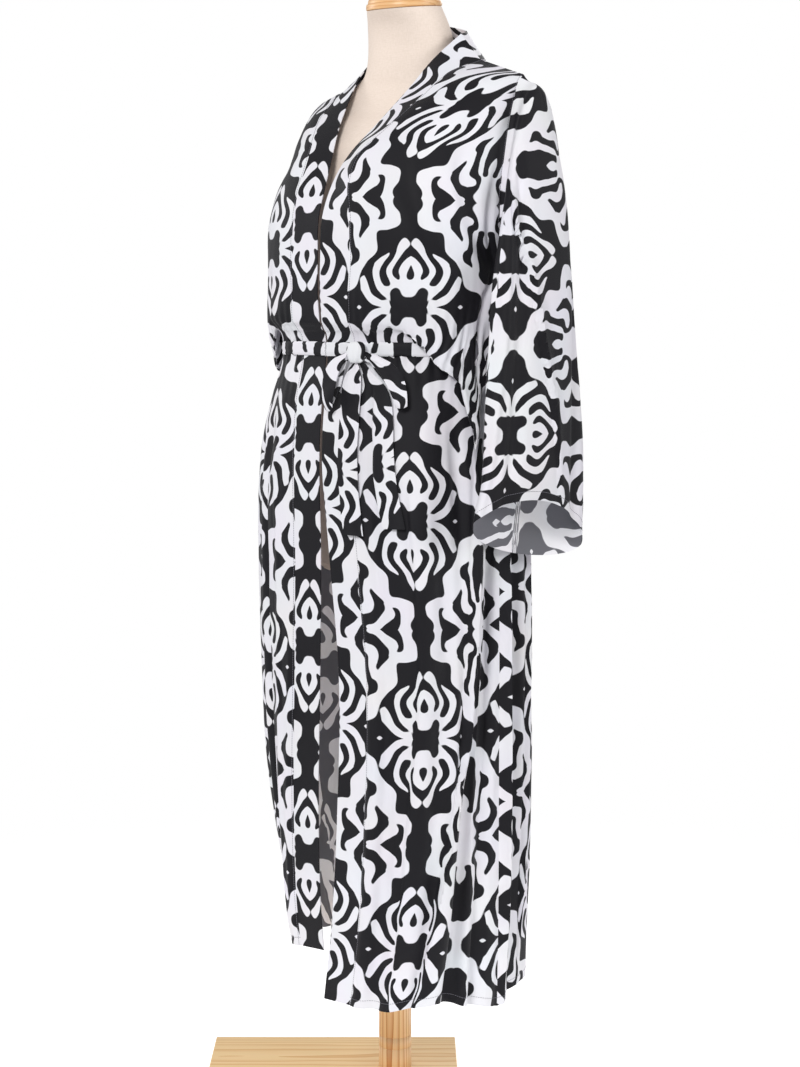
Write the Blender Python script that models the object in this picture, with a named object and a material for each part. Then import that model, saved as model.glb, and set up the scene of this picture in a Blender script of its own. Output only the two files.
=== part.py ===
"""A long kimono coat with a tie belt, on a limbless dress form and its wooden stand.

Metres, +Z up. The origin is on the floor, on the axis of the pole. The coat's front
looks along -Y, and the wearer's left is +X. Each cloth piece is a thin wall through
sections that the tables give, one row for each height.
"""
import math
from collections import namedtuple

import bmesh
import bpy
import numpy as np
from mathutils import kdtree

# cloth and seams
CLOTH = 0.0015
SEAM_GAP = 0.0003
SEAM_REACH = 0.0015
SAME_FACING = 0.8

# stand
BASE_LONG = 0.400
BASE_DEEP = 0.300
BASE_THICK = 0.022
BASE_SHIFT = 0.100
BASE_TURN = math.radians(40.0)
BASE_BEVEL = 0.0015
POLE_RADIUS = 0.026
FOOT_TOP = 0.059
COLLAR_TOP = 0.0775
POLE_TOP = 0.828
STAND_SIDES = 28

# belt and bow
BELT_LOW = 1.1680
BELT_HIGH = 1.1850
BELT_THICK = 0.0030
TAIL_WIDE = 0.033
TAIL_THICK = 0.0024
LOOP_WIDE = 0.026

# folds and seams: how fast a fold rises at its ends and beside a seam
FOLD_START = 0.10
FOLD_END = 0.04
FOLD_EDGE = 0.03

# wall counts
FRONT_COLUMNS = 14
BAND_COLUMNS = 2
NECK_COLUMNS = 3
NECK_SHARE = 0.42
TORSO_SIDES = 36

Front = namedtuple("Front", "name edge seam side square rows")
Back = namedtuple("Back", "name middle left right square")
Hang = namedtuple("Hang", "outer front inner back")
Fold = namedtuple("Fold", "piece top_across top_z low_across low_z wide high")
Ring = namedtuple("Ring", "z middle_y half_wide front_deep back_deep square")
Strip = namedtuple("Strip", "across height out wide")

# Left front, hem to shoulder. edge is the free edge of the band, seam is where the band
# meets the front, side is the side seam and then the armhole, square is how square the
# section is, and rows is the number of rows up to the next section.
LEFT = (
    Front("hem", (0.014, -0.186, 0.184), (0.066, -0.186, 0.184), (0.198, 0.010, 0.162), 2.5, 2),
    Front("shin", (0.034, -0.190, 0.312), (0.087, -0.190, 0.312), (0.200, 0.010, 0.312), 2.5, 2),
    Front("knee", (0.046, -0.190, 0.489), (0.099, -0.189, 0.489), (0.200, 0.010, 0.489), 2.5, 2),
    Front("thigh", (0.048, -0.188, 0.685), (0.101, -0.187, 0.685), (0.200, 0.010, 0.685), 2.5, 2),
    Front("cuff", (0.022, -0.181, 0.879), (0.075, -0.181, 0.879), (0.198, 0.010, 0.879), 2.5, 2),
    Front("hip", (0.000, -0.171, 1.010), (0.053, -0.171, 1.010), (0.195, 0.010, 1.010), 2.4, 2),
    Front("below", (-0.006, -0.158, 1.100), (0.046, -0.157, 1.100), (0.189, 0.008, 1.100), 2.3, 1),
    Front("belt_low", (-0.014, -0.142, 1.160), (0.036, -0.141, 1.160), (0.177, 0.005, 1.160), 2.2, 1),
    Front("belt_high", (-0.014, -0.142, 1.193), (0.036, -0.141, 1.193), (0.177, 0.005, 1.193), 2.2, 1),
    Front("mouth", (-0.014, -0.145, 1.202), (0.037, -0.145, 1.202), (0.180, 0.005, 1.202), 2.2, 1),
    Front("top", (-0.014, -0.148, 1.205), (0.037, -0.148, 1.205), (0.183, 0.005, 1.205), 2.2, 1),
    Front("down", (-0.014, -0.150, 1.208), (0.038, -0.150, 1.208), (0.186, 0.005, 1.208), 2.2, 1),
    Front("low", (-0.014, -0.152, 1.211), (0.038, -0.152, 1.211), (0.188, 0.005, 1.211), 2.2, 1),
    Front("bottom", (-0.013, -0.154, 1.214), (0.039, -0.154, 1.214), (0.191, 0.005, 1.214), 2.2, 1),
    Front("rise", (-0.013, -0.156, 1.218), (0.039, -0.156, 1.218), (0.194, 0.005, 1.218), 2.2, 1),
    Front("up", (-0.013, -0.157, 1.227), (0.040, -0.157, 1.227), (0.196, 0.006, 1.227), 2.3, 1),
    Front("blouse", (-0.013, -0.160, 1.257), (0.042, -0.160, 1.254), (0.201, 0.012, 1.251), 2.4, 1),
    Front("underarm", (-0.012, -0.160, 1.313), (0.046, -0.160, 1.308), (0.203, 0.030, 1.290), 2.4, 1),
    Front("low_chest", (-0.010, -0.158, 1.372), (0.046, -0.160, 1.367), (0.206, 0.000, 1.346), 2.4, 2),
    Front("roll", (-0.006, -0.138, 1.426), (0.040, -0.156, 1.424), (0.208, -0.002, 1.421), 2.3, 1),
    Front("chest", (0.004, -0.112, 1.469), (0.046, -0.142, 1.465), (0.208, 0.006, 1.465), 2.2, 2),
    Front("high_chest", (0.036, -0.083, 1.516), (0.078, -0.115, 1.504), (0.206, 0.020, 1.516), 2.1, 1),
    Front("collarbone", (0.066, -0.046, 1.568), (0.104, -0.072, 1.547), (0.206, 0.032, 1.552), 2.0, 1),
    Front("collar", (0.080, -0.006, 1.613), (0.118, -0.022, 1.588), (0.207, 0.040, 1.575), 2.0, 1),
    Front("shoulder", (0.094, 0.045, 1.655), (0.130, 0.047, 1.614), (0.208, 0.052, 1.587), 2.0, 0),
)

# Right front, the same heights, in the wearer's right half.
RIGHT = (
    Front("hem", (-0.006, -0.164, 0.251), (-0.056, -0.162, 0.249), (-0.130, 0.016, 0.235), 2.3, 2),
    Front("shin", (-0.006, -0.172, 0.333), (-0.058, -0.170, 0.333), (-0.146, 0.014, 0.323), 2.3, 2),
    Front("knee", (-0.002, -0.180, 0.489), (-0.054, -0.179, 0.489), (-0.174, 0.010, 0.489), 2.3, 2),
    Front("thigh", (0.003, -0.182, 0.685), (-0.050, -0.181, 0.685), (-0.192, 0.010, 0.685), 2.4, 2),
    Front("cuff", (0.000, -0.178, 0.879), (-0.053, -0.177, 0.879), (-0.200, 0.008, 0.879), 2.5, 2),
    Front("hip", (-0.012, -0.170, 1.010), (-0.065, -0.168, 1.010), (-0.197, 0.008, 1.010), 2.5, 2),
    Front("below", (-0.019, -0.158, 1.100), (-0.071, -0.155, 1.100), (-0.187, 0.008, 1.100), 2.3, 1),
    Front("belt_low", (-0.026, -0.142, 1.160), (-0.076, -0.136, 1.160), (-0.177, 0.005, 1.160), 2.2, 1),
    Front("belt_high", (-0.026, -0.142, 1.193), (-0.076, -0.136, 1.193), (-0.177, 0.005, 1.193), 2.2, 1),
    Front("mouth", (-0.026, -0.145, 1.202), (-0.077, -0.140, 1.202), (-0.180, 0.005, 1.202), 2.2, 1),
    Front("top", (-0.026, -0.148, 1.205), (-0.078, -0.143, 1.205), (-0.183, 0.005, 1.205), 2.2, 1),
    Front("down", (-0.026, -0.150, 1.208), (-0.078, -0.145, 1.208), (-0.186, 0.005, 1.208), 2.2, 1),
    Front("low", (-0.026, -0.152, 1.211), (-0.079, -0.147, 1.211), (-0.188, 0.005, 1.211), 2.2, 1),
    Front("bottom", (-0.026, -0.154, 1.214), (-0.079, -0.150, 1.214), (-0.191, 0.005, 1.214), 2.2, 1),
    Front("rise", (-0.026, -0.156, 1.218), (-0.080, -0.153, 1.218), (-0.194, 0.005, 1.218), 2.2, 1),
    Front("up", (-0.026, -0.157, 1.227), (-0.080, -0.155, 1.227), (-0.197, 0.006, 1.227), 2.3, 1),
    Front("blouse", (-0.027, -0.160, 1.257), (-0.081, -0.156, 1.254), (-0.198, 0.012, 1.251), 2.3, 1),
    Front("underarm", (-0.028, -0.160, 1.313), (-0.083, -0.156, 1.308), (-0.202, 0.042, 1.293), 2.3, 1),
    Front("low_chest", (-0.030, -0.155, 1.372), (-0.084, -0.152, 1.367), (-0.203, 0.020, 1.346), 2.2, 2),
    Front("roll", (-0.034, -0.134, 1.421), (-0.083, -0.140, 1.416), (-0.203, 0.018, 1.416), 1.9, 1),
    Front("chest", (-0.039, -0.112, 1.461), (-0.082, -0.121, 1.455), (-0.198, 0.024, 1.455), 1.7, 2),
    Front("high_chest", (-0.047, -0.084, 1.507), (-0.089, -0.094, 1.494), (-0.193, 0.036, 1.500), 1.7, 1),
    Front("collarbone", (-0.056, -0.048, 1.550), (-0.099, -0.060, 1.530), (-0.192, 0.046, 1.530), 1.7, 1),
    Front("collar", (-0.066, -0.010, 1.592), (-0.108, -0.016, 1.564), (-0.194, 0.052, 1.548), 1.8, 1),
    Front("shoulder", (-0.080, 0.045, 1.630), (-0.118, 0.047, 1.592), (-0.196, 0.058, 1.562), 2.0, 0),
)

# Back, the same heights: the middle of the back, and each armhole's back edge. The first
# rows use the fronts' side seams.
BACK = (
    Back("hem", (0.014, 0.166, 0.213), None, None, 2.3),
    Back("shin", (0.010, 0.174, 0.312), None, None, 2.3),
    Back("knee", (0.004, 0.180, 0.489), None, None, 2.4),
    Back("thigh", (0.000, 0.181, 0.685), None, None, 2.4),
    Back("cuff", (0.000, 0.178, 0.879), None, None, 2.4),
    Back("hip", (0.000, 0.170, 1.010), None, None, 2.4),
    Back("below", (0.000, 0.158, 1.100), None, None, 2.3),
    Back("belt_low", (0.000, 0.140, 1.160), None, None, 2.2),
    Back("belt_high", (0.000, 0.140, 1.193), None, None, 2.2),
    Back("mouth", (0.000, 0.144, 1.202), None, None, 2.2),
    Back("top", (0.000, 0.147, 1.205), None, None, 2.2),
    Back("down", (0.000, 0.150, 1.208), None, None, 2.2),
    Back("low", (0.000, 0.152, 1.211), None, None, 2.2),
    Back("bottom", (0.000, 0.155, 1.214), None, None, 2.2),
    Back("rise", (0.000, 0.158, 1.218), None, None, 2.2),
    Back("up", (0.000, 0.160, 1.227), None, None, 2.3),
    Back("blouse", (0.000, 0.162, 1.255), None, None, 2.4),
    Back("underarm", (0.000, 0.163, 1.308), None, None, 2.4),
    Back("low_chest", (0.000, 0.162, 1.367), (0.208, 0.072, 1.346), (-0.203, 0.090, 1.346), 2.4),
    Back("roll", (0.000, 0.158, 1.426), (0.210, 0.104, 1.421), (-0.204, 0.118, 1.416), 2.3),
    Back("chest", (0.000, 0.154, 1.469), (0.209, 0.112, 1.465), (-0.201, 0.124, 1.455), 2.2),
    Back("high_chest", (0.000, 0.148, 1.520), (0.207, 0.104, 1.516), (-0.197, 0.114, 1.500), 2.1),
    Back("collarbone", (0.000, 0.138, 1.562), (0.206, 0.084, 1.552), (-0.195, 0.094, 1.530), 2.0),
    Back("collar", (0.000, 0.128, 1.590), (0.207, 0.066, 1.575), (-0.195, 0.074, 1.548), 2.0),
    Back("shoulder", (0.000, 0.114, 1.626), None, None, 2.0),
)

# The band where it stands behind the neck, from the left shoulder round to the right.
NECK_EDGE_MIDDLE = (0.004, 0.104, 1.680)

# How far the blouse hangs over the belt, by the share of the way across each piece.
DROP_LEFT = ((0.0, 0.0), (0.28, 0.0), (0.357, 0.006), (0.429, 0.020), (0.50, 0.040), (0.571, 0.062), (0.65, 0.074),
             (0.715, 0.088), (0.786, 0.186), (0.857, 0.105), (1.0, 0.070))
DROP_RIGHT = ((0.0, 0.0), (0.30, 0.0), (0.45, 0.030), (0.60, 0.070), (0.80, 0.088), (1.0, 0.070))
DROP_BACK = ((0.0, 0.070), (0.12, 0.060), (0.35, 0.045), (0.65, 0.045), (0.88, 0.060), (1.0, 0.070))
# The share of the drop that each section takes.
DROP_SHARE = {"down": 0.46, "low": 0.93, "bottom": 1.0, "rise": 0.95, "up": 0.58}
FLARE_PER_DROP = 0.13
FLARE_FROM = 1.165

# How far the hem rises above a straight line, by the share of the way across each front.
HEM_LEFT = ((0.0, 0.0), (0.2, 0.002), (0.5, 0.024), (0.75, 0.010), (1.0, 0.0))
HEM_RIGHT = ((0.0, 0.0), (1.0, 0.0))

# Sleeves from the shoulder to the cuff: the outermost, foremost, innermost and rearmost
# points of each section.
SLEEVE_LEFT = (
    Hang((0.234, 0.054, 1.568), (0.224, -0.014, 1.402), (0.216, 0.034, 1.278), (0.224, 0.114, 1.398)),
    Hang((0.250, 0.056, 1.494), (0.232, -0.038, 1.346), (0.217, 0.038, 1.251), (0.232, 0.116, 1.344)),
    Hang((0.261, 0.060, 1.397), (0.237, -0.060, 1.269), (0.217, 0.042, 1.199), (0.238, 0.122, 1.269)),
    Hang((0.267, 0.058, 1.269), (0.240, -0.072, 1.179), (0.216, 0.042, 1.120), (0.242, 0.132, 1.179)),
    Hang((0.272, 0.046, 1.130), (0.243, -0.082, 1.080), (0.214, 0.038, 1.020), (0.245, 0.143, 1.075)),
    Hang((0.276, 0.034, 1.020), (0.245, -0.092, 0.987), (0.213, 0.030, 0.934), (0.247, 0.150, 0.958)),
    Hang((0.278, 0.024, 0.951), (0.246, -0.112, 0.926), (0.213, 0.020, 0.870), (0.248, 0.153, 0.873)),
)
SLEEVE_RIGHT = (
    Hang((-0.244, 0.092, 1.545), (-0.236, 0.026, 1.388), (-0.226, 0.048, 1.268), (-0.236, 0.128, 1.386)),
    Hang((-0.254, 0.102, 1.476), (-0.242, 0.026, 1.335), (-0.226, 0.060, 1.242), (-0.243, 0.142, 1.335)),
    Hang((-0.260, 0.112, 1.377), (-0.243, 0.026, 1.261), (-0.224, 0.082, 1.193), (-0.247, 0.166, 1.261)),
    Hang((-0.262, 0.126, 1.249), (-0.240, 0.026, 1.170), (-0.221, 0.100, 1.116), (-0.246, 0.190, 1.170)),
    Hang((-0.263, 0.132, 1.120), (-0.237, 0.022, 1.070), (-0.218, 0.110, 1.018), (-0.245, 0.210, 1.066)),
    Hang((-0.264, 0.134, 1.010), (-0.235, 0.010, 0.977), (-0.216, 0.112, 0.929), (-0.245, 0.228, 0.965)),
    Hang((-0.266, 0.132, 0.941), (-0.234, -0.002, 0.916), (-0.216, 0.108, 0.866), (-0.244, 0.240, 0.887)),
)
# Above 1 the sleeve's front and back edges are sharper folds.
SLEEVE_PINCH = 1.25
# The sleeve's first step away from its armhole.
SLEEVE_LEAD = (0.009, 0.0, -0.010)

# Soft ridges, and troughs where high is below zero. across is the share of the way over
# the piece, wide is half the fold's width and high its height, in metres.
FOLDS = (
    Fold("front_left", 0.97, 1.09, 0.62, 0.12, 0.030, -0.012),
    Fold("front_left", 0.80, 1.09, 0.46, 0.12, 0.034, 0.010),
    Fold("front_left", 0.10, 1.13, 0.16, 0.12, 0.026, -0.008),
    Fold("front_left", 0.50, 1.13, 0.28, 0.12, 0.032, 0.006),
    Fold("front_right", 0.30, 1.13, 0.24, 0.12, 0.026, -0.010),
    Fold("front_right", 0.52, 1.13, 0.50, 0.12, 0.026, 0.009),
    Fold("front_right", 0.74, 1.13, 0.76, 0.12, 0.028, -0.012),
    Fold("back", 0.08, 1.11, 0.10, 0.12, 0.026, -0.012),
    Fold("back", 0.22, 1.13, 0.21, 0.12, 0.034, 0.008),
    Fold("back", 0.36, 1.13, 0.34, 0.12, 0.032, -0.010),
    Fold("back", 0.50, 1.13, 0.50, 0.12, 0.036, 0.007),
    Fold("back", 0.64, 1.13, 0.66, 0.12, 0.032, -0.010),
    Fold("back", 0.79, 1.13, 0.80, 0.12, 0.034, 0.009),
    Fold("back", 0.91, 1.11, 0.90, 0.12, 0.028, -0.013),
    Fold("front_left", 0.60, 1.56, 0.86, 1.27, 0.026, -0.007),
    Fold("front_left", 0.30, 1.52, 0.62, 1.25, 0.030, 0.006),
    Fold("front_right", 0.60, 1.52, 0.84, 1.27, 0.026, -0.006),
    Fold("back", 0.20, 1.52, 0.16, 1.27, 0.032, -0.007),
    Fold("back", 0.80, 1.52, 0.84, 1.27, 0.032, -0.007),
)

# The dress form, bottom to neck.
TORSO = (
    Ring(0.8283, 0.004, 0.130, 0.086, 0.092, 2.1),
    Ring(0.843, 0.004, 0.146, 0.098, 0.106, 2.1),
    Ring(0.889, 0.002, 0.160, 0.108, 0.118, 2.1),
    Ring(0.959, 0.000, 0.166, 0.112, 0.124, 2.1),
    Ring(1.040, 0.000, 0.156, 0.104, 0.112, 2.1),
    Ring(1.110, 0.000, 0.138, 0.094, 0.092, 2.1),
    Ring(1.170, 0.000, 0.128, 0.090, 0.084, 2.1),
    Ring(1.229, 0.000, 0.132, 0.098, 0.086, 2.1),
    Ring(1.288, 0.002, 0.142, 0.114, 0.092, 2.1),
    Ring(1.348, 0.006, 0.150, 0.126, 0.096, 2.2),
    Ring(1.397, 0.010, 0.156, 0.122, 0.098, 2.2),
    Ring(1.446, 0.016, 0.164, 0.112, 0.094, 2.2),
    Ring(1.487, 0.026, 0.174, 0.108, 0.082, 2.2),
    Ring(1.517, 0.036, 0.182, 0.096, 0.070, 2.2),
    Ring(1.5395, 0.044, 0.184, 0.082, 0.058, 2.1),
    Ring(1.5575, 0.047, 0.170, 0.074, 0.050, 2.0),
    Ring(1.5705, 0.047, 0.140, 0.070, 0.048, 2.0),
    Ring(1.5810, 0.045, 0.108, 0.066, 0.050, 2.0),
    Ring(1.5965, 0.041, 0.082, 0.062, 0.060, 2.0),
    Ring(1.616, 0.037, 0.073, 0.056, 0.066, 2.0),
    Ring(1.641, 0.034, 0.071, 0.050, 0.070, 2.0),
    Ring(1.669, 0.029, 0.067, 0.050, 0.066, 2.0),
    Ring(1.697, 0.022, 0.058, 0.057, 0.057, 2.0),
)
NECK_TILT = math.radians(6.0)
CAP_RADIUS = 0.0585
CAP_EDGE = 0.010
CAP_RISE = 0.030
CAP_STEPS = 6


def clear_scene():
    for thing in list(bpy.data.objects):
        bpy.data.objects.remove(thing, do_unlink=True)


def finish_material(name, colour, roughness):
    material = bpy.data.materials.get(name)
    if material is None:
        material = bpy.data.materials.new(name)
        material.use_nodes = True
        shader = material.node_tree.nodes["Principled BSDF"]
        shader.inputs["Base Color"].default_value = (*colour, 1.0)
        shader.inputs["Roughness"].default_value = roughness
        shader.inputs["Metallic"].default_value = 0.0
        material.diffuse_color = (*colour, 1.0)
    return material


def print_cloth():
    return finish_material("printed_viscose", (0.42, 0.42, 0.45), 0.65)


def form_cover():
    return finish_material("form_linen", (0.86, 0.73, 0.61), 0.85)


def pine():
    return finish_material("pine", (0.77, 0.50, 0.24), 0.50)


def new_object(name, mesh, material):
    piece = bpy.data.objects.new(name, mesh)
    mesh.materials.append(material)
    bpy.context.scene.collection.objects.link(piece)
    return piece


def mesh_object(name, points, faces, material):
    mesh = bpy.data.meshes.new(name)
    mesh.from_pydata([tuple(point) for point in points], [], faces)
    shell = bmesh.new()
    shell.from_mesh(mesh)
    bmesh.ops.recalc_face_normals(shell, faces=shell.faces)
    bmesh.ops.triangulate(shell, faces=shell.faces)
    shell.to_mesh(mesh)
    shell.free()
    mesh.shade_smooth()
    mesh.set_sharp_from_angle(angle=math.radians(50.0))
    return new_object(name, mesh, material)


def evenly(line, shares):
    """Points at the given shares of a polyline's length."""
    steps = np.linalg.norm(np.diff(line, axis=0), axis=1)
    along = np.concatenate([[0.0], np.cumsum(steps)])
    wanted = np.asarray(shares) * along[-1]
    return np.stack([np.interp(wanted, along, line[:, axis]) for axis in range(3)], axis=1)


def quarter(start, end, square):
    """A rounded quarter section: level with X at its start, level with Y at its end."""
    turn = np.linspace(0.0, math.pi / 2.0, 61)
    power = 2.0 / square
    line = np.empty((len(turn), 3))
    line[:, 0] = start[0] + (end[0] - start[0]) * np.sin(turn) ** power
    line[:, 1] = end[1] + (start[1] - end[1]) * np.cos(turn) ** power
    steps = np.linalg.norm(np.diff(line[:, :2], axis=0), axis=1)
    along = np.concatenate([[0.0], np.cumsum(steps)])
    line[:, 2] = start[2] + (end[2] - start[2]) * along / along[-1]
    return line


def spline_rows(sections, counts):
    """Rows along a smooth curve through each column of the sections, rows first."""
    sections = np.asarray(sections, dtype=float)
    last = len(sections) - 1
    rows = []
    for index in range(last):
        p1, p2 = sections[index], sections[index + 1]
        p0 = sections[index - 1] if index else 2.0 * p1 - p2
        p3 = sections[index + 2] if index + 2 <= last else 2.0 * p2 - p1
        gaps = [np.sqrt(np.linalg.norm(b - a, axis=1, keepdims=True)) + 1e-6
                for a, b in ((p0, p1), (p1, p2), (p2, p3))]
        t0 = np.zeros_like(gaps[0])
        t1 = t0 + gaps[0]
        t2 = t1 + gaps[1]
        t3 = t2 + gaps[2]
        for step in range(counts[index]):
            t = t1 + (t2 - t1) * step / counts[index]
            a1 = (t1 - t) / (t1 - t0) * p0 + (t - t0) / (t1 - t0) * p1
            a2 = (t2 - t) / (t2 - t1) * p1 + (t - t1) / (t2 - t1) * p2
            a3 = (t3 - t) / (t3 - t2) * p2 + (t - t2) / (t3 - t2) * p3
            b1 = (t2 - t) / (t2 - t0) * a1 + (t - t0) / (t2 - t0) * a2
            b2 = (t3 - t) / (t3 - t1) * a2 + (t - t1) / (t3 - t1) * a3
            rows.append((t2 - t) / (t2 - t1) * b1 + (t - t1) / (t2 - t1) * b2)
    rows.append(sections[last])
    return np.array(rows)


def hang_over_belt(points, name, shares, drops, share_of_piece):
    """Lowers a section's points where the blouse hangs over the belt, and moves them out."""
    if name not in DROP_SHARE:
        return points
    across, drop = np.array(drops).T
    fall = np.interp(share_of_piece, across, drop) * DROP_SHARE[name]
    points = points.copy()
    points[:, 2] -= fall
    flare = FLARE_PER_DROP * np.clip(FLARE_FROM - points[:, 2], 0.0, None)
    out = points[:, :2] / np.linalg.norm(points[:, :2], axis=1, keepdims=True)
    points[:, :2] += out * flare[:, None]
    return points


def front_section(row, drops, hem):
    shares = np.linspace(0.0, 1.0, FRONT_COLUMNS + 1)
    points = evenly(quarter(row.seam, row.side, row.square), shares)
    if row.name == "hem":
        across, rise = np.array(hem).T
        points[:, 2] += np.interp(shares, across, rise)
    return hang_over_belt(points, row.name, shares, drops, shares)


def back_shares():
    """Shares of half the back: the neck's columns, then the shoulder's."""
    neck = np.linspace(0.0, NECK_SHARE, NECK_COLUMNS + 1)
    shoulder = np.linspace(NECK_SHARE, 1.0, FRONT_COLUMNS + 1)
    return np.concatenate([neck, shoulder[1:]])


def back_half(row, side, seam):
    """Half a back section, from the middle to one side."""
    if row.name != "shoulder":
        return evenly(quarter(row.middle, side, row.square), back_shares())
    neck = evenly(quarter(row.middle, seam, 2.0), np.linspace(0.0, 1.0, NECK_COLUMNS + 1))
    ridge = evenly(quarter(seam, side, 2.0), np.linspace(0.0, 1.0, FRONT_COLUMNS + 1))
    return np.concatenate([neck, ridge[1:]])


def back_section(index):
    row = BACK[index]
    left = back_half(row, row.left or LEFT[index].side, LEFT[index].seam)
    right = back_half(row, row.right or RIGHT[index].side, RIGHT[index].seam)
    points = np.concatenate([left[::-1], right[1:]])
    steps = np.linalg.norm(np.diff(points, axis=0), axis=1)
    along = np.concatenate([[0.0], np.cumsum(steps)])
    return hang_over_belt(points, row.name, None, DROP_BACK, along / along[-1])


def row_counts():
    return [row.rows for row in LEFT[:-1]]


def tangents(grid, axis, closed):
    """Each point's direction along an axis: halfway between the runs before and after it."""
    ahead = np.roll(grid, -1, axis=axis) - grid
    ahead /= np.linalg.norm(ahead, axis=2, keepdims=True) + 1e-12
    behind = np.roll(ahead, 1, axis=axis)
    if not closed:
        first, last = [slice(None)] * 3, [slice(None)] * 3
        first[axis], last[axis] = 0, -1
        behind[tuple(first)] = ahead[tuple(first)]
        ahead[tuple(last)] = behind[tuple(last)]
    return ahead + behind


def wall_normals(grid, closed=False):
    """Unit normals of a grid of points, rows up and columns across."""
    across = tangents(grid, 1, closed)
    up = tangents(grid, 0, False)
    normals = np.cross(across, up)
    return normals / (np.linalg.norm(normals, axis=2, keepdims=True) + 1e-12)


def add_folds(name, grid, normals):
    """Moves a piece's points out and in along its folds. Its edges stay."""
    steps = np.linalg.norm(np.diff(grid, axis=1), axis=2)
    along = np.concatenate([np.zeros((len(grid), 1)), np.cumsum(steps, axis=1)], axis=1)
    wide = along[:, -1:]
    edge = np.clip(np.minimum(along, wide - along) / FOLD_EDGE, 0.0, 1.0)
    move = np.zeros(grid.shape[:2])
    for fold in FOLDS:
        if fold.piece != name:
            continue
        down = (fold.top_z - grid[:, :, 2]) / (fold.top_z - fold.low_z)
        centre = (fold.top_across + (fold.low_across - fold.top_across) * np.clip(down, 0.0, 1.0)) * wide
        off = np.clip(np.abs(along - centre) / (2.0 * fold.wide), 0.0, 0.5)
        fade = np.clip((fold.top_z - grid[:, :, 2]) / FOLD_START, 0.0, 1.0)
        fade *= np.clip((grid[:, :, 2] - fold.low_z) / FOLD_END, 0.0, 1.0)
        move += fold.high * (0.5 + 0.5 * np.cos(2.0 * math.pi * off)) * fade
    return grid + normals * (move * edge)[:, :, None]


def sleeve_loop(hang, turn):
    outer, front, inner, back = (np.array(point) for point in hang)
    middle = (outer + front + inner + back) / 4.0
    lift = (outer - inner) / 2.0
    reach = (front - back) / 2.0
    twist = ((outer + inner) - (front + back)) / 4.0
    cosine = np.cos(turn)
    pinched = np.sign(cosine) * np.abs(cosine) ** SLEEVE_PINCH
    return (middle + pinched[:, None] * lift + np.sin(turn)[:, None] * reach
            + np.cos(2.0 * turn)[:, None] * twist)


def half_turns(line):
    """Angles from 0 to half a turn, in step with the length along a line."""
    steps = np.linalg.norm(np.diff(line, axis=0), axis=1)
    along = np.concatenate([[0.0], np.cumsum(steps)])
    return math.pi * along / along[-1]


def sleeve_grid(front, back_column, table, first_row):
    """A sleeve from its armhole, whose points are those of the front and the back."""
    down_front = front[first_row:, -1][::-1]
    up_back = back_column[first_row:]
    armhole = np.concatenate([down_front, up_back[1:-1]])
    turn = np.concatenate([half_turns(down_front), math.pi + half_turns(up_back)[1:-1]])
    lead = np.array(SLEEVE_LEAD)
    lead[0] *= math.copysign(1.0, armhole[0, 0])
    sections = [armhole, armhole + lead] + [sleeve_loop(hang, turn) for hang in table]
    counts = [1, 2] + [2] * (len(sections) - 3)
    return spline_rows(sections, counts)


def neck_grid(left_band, right_band, back):
    """The band behind the neck: its seam is the back's neck edge, its free edge stands."""
    middle = back.shape[1] // 2
    seam = back[-1, middle - NECK_COLUMNS:middle + NECK_COLUMNS + 1]
    left_edge, right_edge = left_band[-1, 0], right_band[-1, 0]
    top = np.array(NECK_EDGE_MIDDLE)
    shares = np.linspace(0.0, 1.0, NECK_COLUMNS + 1)
    left = evenly(quarter(top, left_edge, 2.0), shares)[::-1]
    right = evenly(quarter(top, right_edge, 2.0), shares)
    edge = np.concatenate([left, right[1:]])
    lift = np.linspace(0.0, 1.0, BAND_COLUMNS + 1)[:, None, None]
    return seam[None] + (edge - seam)[None] * lift


def band_grid(front, table):
    """A straight strip beside the front's first column, out to the band's free edge."""
    edges = spline_rows([[row.edge] for row in table], row_counts())[:, 0]
    lift = np.linspace(0.0, 1.0, BAND_COLUMNS + 1)[None, :, None]
    return edges[:, None] + (front[:, :1] - edges[:, None]) * lift


def share_normals(pieces):
    """Gives points that meet at a seam the same normal, so the walls' ends stay parallel."""
    rims = []
    for grid, normals, closed in pieces:
        rows, columns = grid.shape[:2]
        for i in range(rows):
            for j in range(columns):
                side = not closed and j in (0, columns - 1)
                if i in (0, rows - 1) or side:
                    rims.append((grid, normals, i, j))
    tree = kdtree.KDTree(len(rims))
    for index, (grid, normals, i, j) in enumerate(rims):
        tree.insert(grid[i, j], index)
    tree.balance()
    shared = []
    for grid, normals, i, j in rims:
        facing = []
        for other in sorted(found[1] for found in tree.find_range(grid[i, j], SEAM_REACH)):
            normal = rims[other][1][rims[other][2], rims[other][3]]
            if all(np.dot(normal, known) < SAME_FACING for known in facing):
                facing.append(normal)
        total = np.sum(facing, axis=0)
        size = np.linalg.norm(total)
        shared.append(total / size if size > 0.35 else np.array((0.0, 0.0, -1.0)))
    for (grid, normals, i, j), normal in zip(rims, shared):
        normals[i, j] = normal


def draw_back(grid, closed=False):
    """Moves a piece's rim in by half the seam gap."""
    half = SEAM_GAP / 2.0 + 0.00002
    grid = grid.copy()
    for row, inner in ((0, 1), (-1, -2)):
        step = grid[inner] - grid[row]
        grid[row] += step / np.linalg.norm(step, axis=1, keepdims=True) * half
    if not closed:
        for column, inner in ((0, 1), (-1, -2)):
            step = grid[:, inner] - grid[:, column]
            grid[:, column] += step / np.linalg.norm(step, axis=1, keepdims=True) * half
    return grid


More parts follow.
